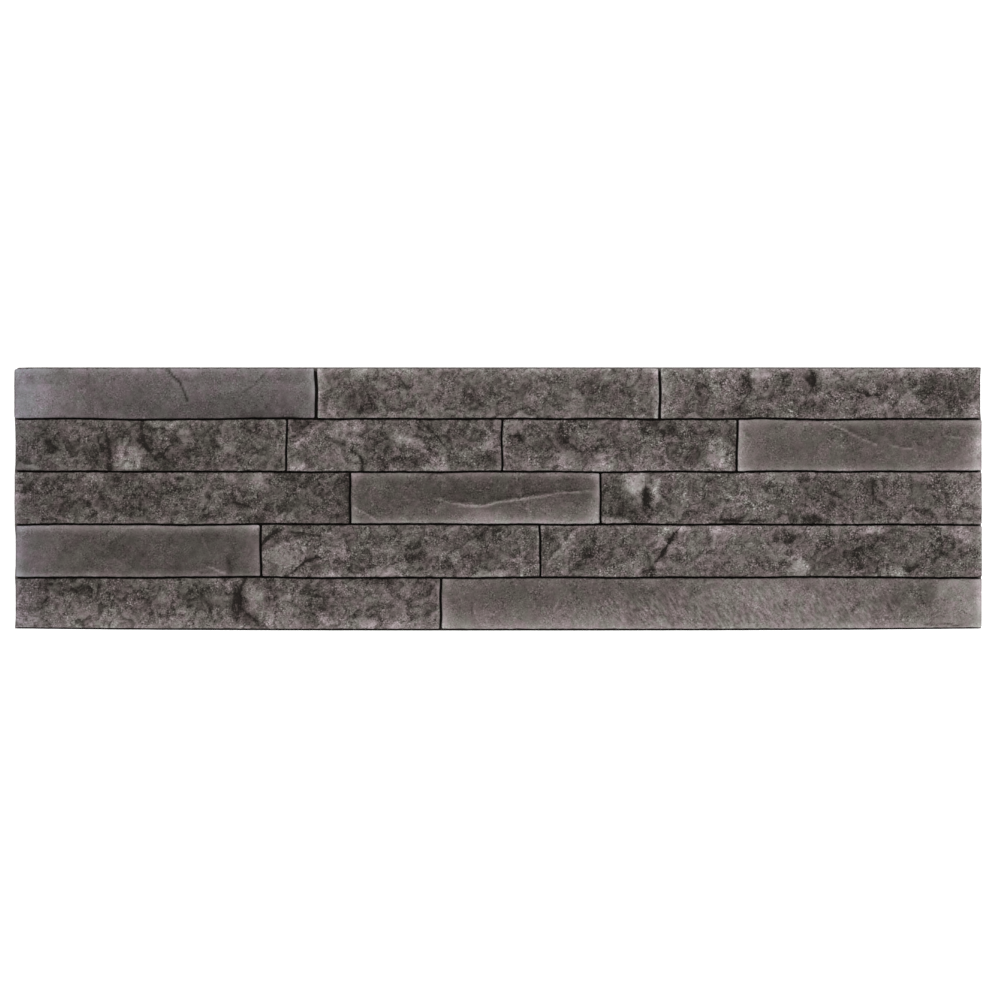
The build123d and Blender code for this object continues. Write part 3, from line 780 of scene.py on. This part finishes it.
def stray(v, layers, strips):
    # joints wander a little, and carry the strips beside them along
    low, high = cadLow / mm, cadHigh / mm
    x, y = v.co.x, v.co.y
    courseHeight, wander, reach = tile["courseHeight"], tile["wander"], tile["wanderReach"]
    for row in range(1, 5):
        near = easeOut(abs(y - (high.y - row * courseHeight + 0.5)), reach)
        v.co.y += near * wander * noise.noise(Vector((x / 34.0, row * 5.1, 0.5)))
    for strip in strips:
        fromMiddle = abs(y - (strip["top"] + strip["bottom"]) / 2)
        if not strip["outerSides"][1] and fromMiddle < courseHeight / 2 + 0.2:
            near = easeOut(abs(x - strip["right"] - 0.5), reach)
            v.co.x += near * wander * noise.noise(Vector((y / 12.0, strip["right"], 0.5)))
    v.co.y += easeOut(v.co.y - low.y, reach) * tile["lowerBow"] * (abs(x) / tile["bowHalfLength"]) ** 3
    # the casting's own corners: the upper left broken, the lower right rounded
    broken = tile["brokenCorner"] * (1.0 + 0.25 * noise.noise(Vector((x, y, v.co.z / 4.0))))
    v.co.x, v.co.y = roundCorner(v.co.x, v.co.y, low.x, high.y, -1, 1, broken)
    v.co.x, v.co.y = roundCorner(v.co.x, v.co.y, high.x, low.y, 1, -1, tile["roundedCorner"])
    # the slab's ends stand back a little with the strips above them
    if v[layers.strip] < 0 and v.co.z > 5.0:
        row, within = divmod(high.y - y, courseHeight)
        left, right = tile["endInsets"][min(4, int(row))]
        share = tile["slabEndShare"] * min(1.0, within / 4.0, (courseHeight - within) / 4.0)
        v.co.x += share * left * max(0.0, 1.0 - (x - low.x) / tile["edgeLines"][1])
        v.co.x -= share * right * max(0.0, 1.0 - (high.x - x) / tile["edgeLines"][1])
    # sides a little uneven, never outside the mould
    rough = 0.05 * (1.0 + noise.noise(Vector((x / 6.0, y / 6.0, v.co.z / 5.0))))
    if 0.5 < v.co.z:
        v.co.x += rough * ((x < low.x + 1.5) - (x > high.x - 1.5))
        v.co.y += rough * ((y < low.y + 0.3) - (y > high.y - 0.7))


def surfaceOf(face, layers, strips):
    # number of the material: split and riven faces, stained joints, and the cast sides and back
    split, riven, joint, cast = range(4)
    numbers = {round(v[layers.strip]) for v in face.verts}
    centre = face.calc_center_median()
    rimX, rimY = tile["openRim"]
    if numbers == {-1} and centre.z < tile["slabThickness"] - 0.01:
        return cast
    if len(numbers) > 1 or max(v[layers.depth] for v in face.verts) > 0:
        outside = abs(centre.x) > cadHigh.x / mm - rimX or centre.y > cadHigh.y / mm - rimY
        return cast if outside else joint
    return {"split": split, "riven": riven}[strips[numbers.pop()]["finish"]]


def buildTile():
    bm = bmesh.new()
    layers = Layers(bm)
    solid = solidFace(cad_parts[tileNode])
    strips = layOut()
    for number, strip in enumerate(strips):
        addStrip(bm, layers, strip, number, solid)
    print("strips", len(strips), "with", len(bm.verts), "vertices")
    addSlab(bm, layers)
    rim = [e for e in bm.edges if e.is_boundary]
    floorOfJoints = bmesh.ops.triangle_fill(bm, edges=rim, use_dissolve=False, use_beauty=True)["geom"]
    print("floor of the joints", len(floorOfJoints))
    for f in bm.faces:
        f.material_index = surfaceOf(f, layers, strips)
        f.smooth = True
    for v in bm.verts:
        stray(v, layers, strips)
    bmesh.ops.recalc_face_normals(bm, faces=bm.faces)
    print("open edges", sum(not e.is_manifold for e in bm.edges))
    bmesh.ops.scale(bm, vec=(mm, mm, mm), verts=bm.verts)
    mesh = bpy.data.meshes.new("claddingTile")
    bm.to_mesh(mesh)
    bm.free()
    mesh.set_sharp_from_angle(angle=radians(60))
    piece = bpy.data.objects.new("claddingTile", mesh)
    bpy.context.scene.collection.objects.link(piece)
    triangles = sum(len(p.vertices) - 2 for p in mesh.polygons)
    print("tile", len(mesh.vertices), "vertices", triangles, "triangles")
    return piece


# Surfaces

look = {
    "light": 1.4,  # how bright the studio is: the photographed shades are divided by it
    # shades of the stone from stain to worn peak: lightness, then red, green, blue as photographed
    "shades": [
        (30, 31, 26, 23), (48, 52, 46, 42), (65, 70, 63, 60), (85, 91, 83, 80),
        (105, 112, 103, 101), (125, 131, 122, 121), (150, 153, 145, 145), (185, 187, 180, 180),
    ],
    "green": (0.93, 1.02, 0.95),
    "mauve": (1.04, 0.984, 1.026),
    "blue": (0.96, 1.0, 1.17),
    "grainSizes": (2.4, 0.85),  # coarse, fine
    "scales": (1.5, 2.6, -55),  # size, how much longer than wide, and which way they lie in degrees
    "pits": (2.1, 0.40),  # spacing, radius as a share of it
    "flatSizes": (7.5, 3.0, 1.4),
    "cloudSizes": (17.0, 5.0),
    "creaseDark": -30.0,
    "ledge": (44.0, -18.0, 12.0),  # lightness on its lip, above it and below it: a painted highlight, painted shade and painted light, as lit from below
    "split": {
        "cavity": (0.16, 10.5),  # height in mm that counts as full, lightness added or taken
        "broad": (0.75, 6.0),
        "mottle": 8.1,
        "flats": 5.2,
        "speckle": 21.0,
        "pits": 22.0,
        "grit": 0.22,
        "creases": 1.0,
    },
    "riven": {
        "cavity": (0.10, 14.0),
        "broad": (0.25, 8.0),
        "mottle": 14.0,
        "flats": 4.5,
        "speckle": 11.5,
        "pits": 13.0,
        "grit": 0.10,
        "creases": 0.12,
    },
    "joint": {
        "tone": 34.0,
        "mouth": 1.6,  # depth in mm over which the stain thins out
        "paler": 30.0,
        "speckle": 8.0,
        "grit": 0.2,
    },
    "cast": {
        "tone": 92.0,
        "mottle": 14.0,
        "speckle": 9.0,
        "pits": 26.0,
        "grit": 0.08,
    },
}


def linear(value):
    value /= 255
    return ((value + 0.055) / 1.055) ** 2.4 if value > 0.04045 else value / 12.92


class Nodes:
    def __init__(self, tree):
        self.tree = tree

    def add(self, kind, **settings):
        node = self.tree.nodes.new(kind)
        for name, value in settings.items():
            setattr(node, name, value)
        return node

    def put(self, value, socket):
        if isinstance(value, bpy.types.NodeSocket):
            self.tree.links.new(value, socket)
        else:
            socket.default_value = value

    def math(self, operation, a, b=0.0, c=0.0, clamp=False):
        node = self.add("ShaderNodeMath", operation=operation, use_clamp=clamp)
        for value, socket in zip((a, b, c), node.inputs):
            self.put(value, socket)
        return node.outputs[0]

    def plus(self, a, b, clamp=False):
        return self.math("ADD", a, b, clamp=clamp)

    def minus(self, a, b, clamp=False):
        return self.math("SUBTRACT", a, b, clamp=clamp)

    def times(self, a, b, plus=0.0, clamp=False):
        return self.math("MULTIPLY_ADD", a, b, plus, clamp)

    def over(self, a, b):
        return self.math("DIVIDE", a, b)

    def vector(self, operation, a, b):
        node = self.add("ShaderNodeVectorMath", operation=operation)
        self.put(a, node.inputs[0])
        self.put(b, node.inputs["Scale" if operation == "SCALE" else 1])
        return node.outputs["Value" if operation == "DOT_PRODUCT" else "Vector"]

    def noise(self, place, size, detail=2.0, roughness=0.5, moved=None):
        # clouds from -0.5 to 0.5, moved so that those of one size don't look alike
        node = self.add("ShaderNodeTexNoise")
        self.put(self.vector("ADD", place, moved) if moved else place, node.inputs["Vector"])
        for name, value in (("Scale", 1 / size), ("Detail", detail), ("Roughness", roughness)):
            node.inputs[name].default_value = value
        return self.minus(node.outputs["Fac"], 0.5)

    def cells(self, place, size, feature="F1"):
        node = self.add("ShaderNodeTexVoronoi", feature=feature)
        self.put(place, node.inputs["Vector"])
        node.inputs["Scale"].default_value = 1 / size
        return node.outputs

    def strayed(self, place, size, amount):
        # the place moved about by noise, so what is drawn from it has uneven outlines
        wave = self.add("ShaderNodeTexNoise")
        self.put(place, wave.inputs["Vector"])
        wave.inputs["Scale"].default_value = 1 / size
        wave.inputs["Detail"].default_value = 3.0
        return self.vector("ADD", place, self.vector("SCALE", wave.outputs["Color"], amount))

    def attribute(self, name):
        return self.add("ShaderNodeAttribute", attribute_name=name).outputs["Fac"]

    def group(self, group, **values):
        node = self.add("ShaderNodeGroup", node_tree=group)
        for name, value in values.items():
            self.put(value, node.inputs[name])
        return node.outputs


def newGroup(name, inputs, outputs):
    # inputs and outputs are names with the kinds of their sockets, as in "Place:Vector Scales:Float"
    tree = bpy.data.node_groups.new(name, "ShaderNodeTree")
    for way, sockets in (("INPUT", inputs), ("OUTPUT", outputs)):
        for socket in sockets.split():
            label, kind = socket.split(":")
            tree.interface.new_socket(label, in_out=way, socket_type=f"NodeSocket{kind}")
    nodes = Nodes(tree)
    return tree, nodes, nodes.add("NodeGroupInput").outputs, nodes.add("NodeGroupOutput").inputs


def makeGrain():
    # sand and cement seen close: light and dark specks, pits, and the height of the grit in mm
    tree, nodes, given, out = newGroup(
        "stoneGrain", "Place:Vector Scales:Float", "Speckle:Float Pits:Float Height:Float")
    coarseSize, fineSize = look["grainSizes"]
    coarse = nodes.noise(given["Place"], coarseSize, 3.0, 0.65)
    fine = nodes.noise(given["Place"], fineSize, 1.0, 0.5)
    speckle = nodes.plus(nodes.times(coarse, 1.4), nodes.times(fine, 4.2))
    bolder = nodes.times(nodes.math("ABSOLUTE", speckle), 1.5, 0.55)
    speckle = nodes.times(speckle, bolder)
    rougher = nodes.times(nodes.noise(given["Place"], 9.0, moved=(9.0, 9.0, 80.0)), 3.6, 1.0)
    speckle = nodes.times(speckle, nodes.math("MAXIMUM", rougher, 0.35))
    size, stretch, lie = look["scales"]
    slanted = nodes.add("ShaderNodeMapping", vector_type="TEXTURE")
    nodes.put(given["Place"], slanted.inputs["Vector"])
    slanted.inputs["Rotation"].default_value = (0, 0, radians(lie))
    slanted.inputs["Scale"].default_value = (stretch, 1.0, 1.0)
    scales = nodes.times(nodes.noise(slanted.outputs[0], size, 2.0, 0.5), given["Scales"])
    nodes.put(nodes.times(scales, 6.0, speckle), out["Speckle"])
    apart, radius = look["pits"]
    hole = nodes.math("SMOOTH_MIN", nodes.cells(given["Place"], apart)["Distance"], 0.42, 0.1)
    chance = nodes.math("GREATER_THAN", nodes.noise(given["Place"], 5.0, 1.0), 0.03)
    pits = nodes.times(nodes.minus(1.0, nodes.over(hole, radius), True), chance)
    nodes.put(pits, out["Pits"])
    height = nodes.plus(nodes.times(coarse, 1.6), fine)
    height = nodes.minus(height, nodes.times(pits, 1.2))
    nodes.put(nodes.times(scales, 5.0, height), out["Height"])
    return tree


def makeFlats():
    # broken flats: each has its own shade and grows lighter towards one side, a painted shading of the way it
    # tilts, and some are parted by cracks
    tree, nodes, given, out = newGroup("brokenFlats", "Place:Vector", "Shade:Float Hue:Float Cracks:Float")
    shades = []
    for size in look["flatSizes"]:
        place = nodes.strayed(given["Place"], size / 2, size * 1.05)
        cell = nodes.cells(place, size)
        tilt = nodes.vector("SUBTRACT", cell["Color"], (0.5, 0.5, 0.5))
        away = nodes.vector("SCALE", nodes.vector("SUBTRACT", place, cell["Position"]), 1 / size)
        # painted shading: lighter towards the side the flat tilts up to, darker on the other
        slope = nodes.vector("DOT_PRODUCT", away, tilt)
        parts = nodes.add("ShaderNodeSeparateXYZ")
        nodes.put(tilt, parts.inputs[0])
        shades.append(nodes.times(slope, 2.2, nodes.times(parts.outputs["Z"], 0.8)))
        if size == look["flatSizes"][0]:
            nodes.put(parts.outputs["Y"], out["Hue"])
            border = nodes.over(nodes.cells(place, size, "DISTANCE_TO_EDGE")["Distance"], 0.055)
            chance = nodes.noise(given["Place"], 6.0, moved=(70.0, 1.0, 5.0))
            chance = nodes.times(chance, 7.0, 0.3, True)
            nodes.put(nodes.times(nodes.minus(1.0, border, True), chance), out["Cracks"])
    shade = nodes.times(shades[1], 0.6, shades[0])
    nodes.put(nodes.times(shades[2], 0.6, shade), out["Shade"])
    return tree


def makeMottle():
    # clouds of lighter and darker stone, and of greener and redder
    tree, nodes, given, out = newGroup("mottledStone", "Place:Vector Flats:Float", "Tone:Float Hue:Float")
    wideSize, closeSize = look["cloudSizes"]
    wide = nodes.noise(given["Place"], wideSize, 3.0, 0.55)
    close = nodes.noise(given["Place"], closeSize, 3.0, 0.65, (40.0, 9.0, 3.0))
    nodes.put(nodes.plus(nodes.times(wide, 1.4), nodes.times(close, 1.2)), out["Tone"])
    hueWide = nodes.noise(given["Place"], 11.0, 2.0, 0.6, (3.0, 70.0, 20.0))
    hueClose = nodes.noise(given["Place"], 1.6, 2.0, 0.6, (11.0, 2.0, 60.0))
    hue = nodes.plus(nodes.times(hueWide, 2.0), nodes.times(hueClose, 1.2))
    hue = nodes.times(given["Flats"], 1.1, hue)
    nodes.put(nodes.plus(hue, 0.5), out["Hue"])
    return tree


def makeCracks():
    # fine creases all over, and the drawn cracks and ledges with ragged edges, the ledges with painted light
    # and shade: lightness, and height in mm
    tree, nodes, given, out = newGroup(
        "stoneCracks", "Place:Vector Crack:Float Cut:Float Ledge:Float Lip:Float Creases:Float Borders:Float",
        "Tone:Float Height:Float")
    ragged = nodes.noise(given["Place"], 1.4, 2.0, 0.6)
    patchy = nodes.noise(given["Place"], 3.5)
    crease = nodes.math("ABSOLUTE", nodes.noise(given["Place"], 6.0, 3.0, 0.6, (5.0, 33.0, 8.0)))
    crease = nodes.minus(1.0, nodes.over(crease, 0.022), True)
    chance = nodes.times(nodes.noise(given["Place"], 9.0, moved=(7.0, 1.0, 50.0)), 6.0, 0.35, True)
    crease = nodes.math("MAXIMUM", nodes.times(crease, chance), given["Borders"])
    crease = nodes.times(crease, given["Creases"])
    gap = nodes.math("ABSOLUTE", nodes.times(ragged, 1.5, given["Crack"]))
    gap = nodes.times(patchy, -1.3, gap)
    crack = nodes.minus(1.0, nodes.over(nodes.minus(gap, 0.08), 0.5), True)
    crack = nodes.times(crack, nodes.math("POWER", given["Cut"], 2.0))
    dark = nodes.math("MAXIMUM", crease, nodes.times(crack, 1.25))
    side = nodes.times(patchy, 2.4, nodes.times(ragged, 3.2, given["Ledge"]))
    lip = nodes.minus(1.0, nodes.math("ABSOLUTE", side), True)
    lip = nodes.times(lip, nodes.times(patchy, 5.0, 0.8, True))
    fade = nodes.over(side, 6.0)
    above = nodes.times(nodes.math("GREATER_THAN", side, 0.6), nodes.minus(1.0, fade, True))
    below = nodes.times(nodes.math("LESS_THAN", side, -0.6), nodes.plus(1.0, fade, True))
    # painted light of a ledge lit from below: a highlight on its lip, painted shade on the side above it,
    # painted light on the side below
    paintedHighlightOnLip, paintedShadeAboveLedge, paintedLightBelowLedge = look["ledge"]
    ledge = nodes.times(lip, paintedHighlightOnLip)
    ledge = nodes.times(above, paintedShadeAboveLedge, ledge)
    ledge = nodes.times(below, paintedLightBelowLedge, ledge)
    nodes.put(nodes.times(ledge, given["Lip"], nodes.times(dark, look["creaseDark"])), out["Tone"])
    nodes.put(nodes.times(dark, -1.0), out["Height"])
    return tree


def makeStain():
    # lightness lost where stain settles in hollows, gained on worn peaks
    tree, nodes, given, out = newGroup("settledStain", "Height:Float Full:Float Amount:Float", "Tone:Float")
    share = nodes.over(given["Height"], given["Full"])
    share = nodes.math("MAXIMUM", nodes.math("MINIMUM", share, 1.3), -1.8)
    nodes.put(nodes.times(share, given["Amount"]), out["Tone"])
    return tree


def makeShades():
    # lightness 0 to 255 and hue to the colour of the stone
    tree, nodes, given, out = newGroup("stoneShades", "Tone:Float Hue:Float Cool:Float", "Color:Color")
    ramp = nodes.add("ShaderNodeValToRGB")
    nodes.put(nodes.over(given["Tone"], 255.0), ramp.inputs["Fac"])
    elements = ramp.color_ramp.elements
    while len(elements) < len(look["shades"]):
        elements.new(0.5)
    for element, (tone, *colour) in zip(elements, look["shades"]):
        element.position = tone / 255
        element.color = (*(linear(channel) / look["light"] for channel in colour), 1)
    colour = ramp.outputs["Color"]
    for share, start, stop in (("Hue", look["green"], look["mauve"]), ("Cool", (1, 1, 1), look["blue"])):
        tint = nodes.add("ShaderNodeMix", data_type="VECTOR")
        nodes.put(given[share], tint.inputs["Factor"])
        vectors = [socket for socket in tint.inputs if socket.type == "VECTOR"]
        nodes.put(start, vectors[-2])
        nodes.put(stop, vectors[-1])
        result = [socket for socket in tint.outputs if socket.type == "VECTOR"][0]
        colour = nodes.vector("MULTIPLY", colour, result)
    nodes.put(colour, out["Color"])
    return tree


def placeOnStrip(nodes):
    # object coordinates in mm, moved apart from strip to strip so no pattern crosses a joint
    place = nodes.vector("SCALE", nodes.add("ShaderNodeTexCoord").outputs["Object"], 1 / mm)
    away = nodes.add("ShaderNodeCombineXYZ")
    nodes.put(nodes.times(nodes.attribute("strip"), 37.3), away.inputs["Z"])
    return nodes.vector("ADD", place, away.outputs[0])


def newMaterial(name, roughness):
    material = bpy.data.materials.new(name)
    material.use_nodes = True
    shader = material.node_tree.nodes["Principled BSDF"]
    shader.inputs["Roughness"].default_value = roughness
    shader.inputs["Specular IOR Level"].default_value = 0.14
    nodes = Nodes(material.node_tree)
    return material, nodes, shader, placeOnStrip(nodes)


def finishMaterial(nodes, shader, colour, height, distance):
    nodes.put(colour, shader.inputs["Base Color"])
    bump = nodes.add("ShaderNodeBump")
    bump.inputs["Distance"].default_value = distance * mm
    nodes.put(height, bump.inputs["Height"])
    nodes.put(bump.outputs["Normal"], shader.inputs["Normal"])


def stoneMaterial(name, finish, groups):
    material, nodes, shader, place = newMaterial(name, 0.88)
    values = look[finish]
    read = {layer: nodes.attribute(layer) for layer in (
        "tone", "cavity", "broad", "hue", "cool", "grain", "scales", "crack", "cut", "ledge", "lip")}
    specks = nodes.group(groups["grain"], Place=place, Scales=read["scales"])
    flats = nodes.group(groups["flats"], Place=place)
    mottle = nodes.group(groups["mottle"], Place=place, Flats=flats["Hue"])
    tone = read["tone"]
    for layer in ("cavity", "broad"):
        full, amount = values[layer]
        stain = nodes.group(groups["stain"], Height=read[layer], Full=full, Amount=amount)
        tone = nodes.plus(tone, stain["Tone"])
    tone = nodes.times(mottle["Tone"], values["mottle"], tone)
    tone = nodes.times(flats["Shade"], values["flats"], tone)
    tone = nodes.times(nodes.times(specks["Speckle"], read["grain"]), values["speckle"], tone)
    tone = nodes.times(nodes.times(specks["Pits"], read["grain"]), -values["pits"], tone)
    cracks = nodes.group(
        groups["cracks"], Place=place, Crack=read["crack"], Cut=read["cut"], Ledge=read["ledge"],
        Lip=read["lip"], Creases=values["creases"], Borders=flats["Cracks"])
    tone = nodes.plus(tone, cracks["Tone"])
    hue = nodes.plus(mottle["Hue"], read["hue"], True)
    colour = nodes.group(groups["shades"], Tone=tone, Hue=hue, Cool=read["cool"])["Color"]
    finishMaterial(nodes, shader, colour, nodes.plus(specks["Height"], cracks["Height"]), values["grit"])
    return material


def jointMaterial(groups):
    # stain lies thick in the joints and thins out towards their mouths
    material, nodes, shader, place = newMaterial("jointShade", 0.95)
    values = look["joint"]
    specks = nodes.group(groups["grain"], Place=place)
    mouth = nodes.minus(1.0, nodes.over(nodes.attribute("depth"), values["mouth"]), True)
    mouth = nodes.times(mouth, nodes.minus(nodes.attribute("tone"), values["tone"] + values["paler"]))
    tone = nodes.plus(nodes.math("MAXIMUM", mouth, 0.0), values["tone"])
    tone = nodes.times(specks["Speckle"], values["speckle"], tone)
    colour = nodes.group(groups["shades"], Tone=tone, Hue=0.5)["Color"]
    finishMaterial(nodes, shader, colour, specks["Height"], values["grit"])
    return material


def castMaterial(groups):
    # sides and back as they leave the mould: plain, finely pored
    material, nodes, shader, place = newMaterial("castBody", 0.85)
    values = look["cast"]
    specks = nodes.group(groups["grain"], Place=place)
    mottle = nodes.group(groups["mottle"], Place=place)
    tone = nodes.times(mottle["Tone"], values["mottle"], values["tone"])
    tone = nodes.times(specks["Speckle"], values["speckle"], tone)
    tone = nodes.times(specks["Pits"], -values["pits"], tone)
    colour = nodes.group(groups["shades"], Tone=tone, Hue=mottle["Hue"])["Color"]
    finishMaterial(nodes, shader, colour, specks["Height"], values["grit"])
    return material


groups = {
    "grain": makeGrain(), "flats": makeFlats(), "mottle": makeMottle(), "cracks": makeCracks(),
    "stain": makeStain(), "shades": makeShades(),
}
piece = buildTile()
# in the order that surfaceOf counts them
piece.data.materials.append(stoneMaterial("splitFace", "split", groups))
piece.data.materials.append(stoneMaterial("rivenFace", "riven", groups))
piece.data.materials.append(jointMaterial(groups))
piece.data.materials.append(castMaterial(groups))
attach(piece, "root")
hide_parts(tileNode)
print("materials", [m.name for m in piece.data.materials])

# Floor, light and camera
view = {
    "cameraHeight": 4.0,
    "faceHeight": 0.0185,
    "millimetresPerPixel": 0.5679,
    "pixels": 1000,
    "tileCentre": (497.95, 498.95),  # pixel of the photograph where the middle of the tile lies
    "floorSize": 6.0,
    "floorShade": (0.93, 0.93, 0.93, 1),
    "worldLight": 1.0,
    "softbox": (0.18, -0.3, 2.05),
    "softboxSize": 1.4,
    "softboxPower": 38.0,
    "floorGlow": 0.3,  # the floor is a lit table, so the tile hardly shades it
}

floorMesh = bpy.data.meshes.new("floor")
bm = bmesh.new()
bmesh.ops.create_grid(bm, x_segments=1, y_segments=1, size=view["floorSize"] / 2)
bm.to_mesh(floorMesh)
bm.free()
floor = bpy.data.objects.new("floor", floorMesh)
floor.location.z = -0.0001
bpy.context.scene.collection.objects.link(floor)
material = bpy.data.materials.new("paper")
material.use_nodes = True
shader = material.node_tree.nodes["Principled BSDF"]
shader.inputs["Base Color"].default_value = view["floorShade"]
shader.inputs["Roughness"].default_value = 0.8
shader.inputs["Specular IOR Level"].default_value = 0.1
shader.inputs["Emission Color"].default_value = (1, 1, 1, 1)
shader.inputs["Emission Strength"].default_value = view["floorGlow"]
floorMesh.materials.append(material)

world = bpy.data.worlds.new("studio")
world.use_nodes = True
world.node_tree.nodes["Background"].inputs["Color"].default_value = (1, 1, 1, 1)
world.node_tree.nodes["Background"].inputs["Strength"].default_value = view["worldLight"]
bpy.context.scene.world = world

lamp = bpy.data.lights.new("softbox", "AREA")
lamp.energy = view["softboxPower"]
lamp.size = view["softboxSize"]
key = bpy.data.objects.new("softbox", lamp)
key.location = view["softbox"]
key.visible_camera = False  # the camera looks down past it
key.rotation_mode = "QUATERNION"
key.rotation_quaternion = key.location.to_track_quat("Z", "Y")
bpy.context.scene.collection.objects.link(key)

camera = bpy.data.cameras.new("camera")
camera.sensor_width = 36.0
distance = view["cameraHeight"] - view["faceHeight"]
metresPerPixel = view["millimetresPerPixel"] * mm
camera.lens = camera.sensor_width * distance / (metresPerPixel * view["pixels"])
cameraObject = bpy.data.objects.new("camera", camera)
centreX, centreY = view["tileCentre"]
offsetX = (view["pixels"] / 2 - centreX) * metresPerPixel
offsetY = (centreY - view["pixels"] / 2) * metresPerPixel
cameraObject.location = (offsetX, offsetY, view["cameraHeight"])
bpy.context.scene.collection.objects.link(cameraObject)
bpy.context.scene.camera = cameraObject
bpy.context.scene.view_settings.view_transform = "Standard"
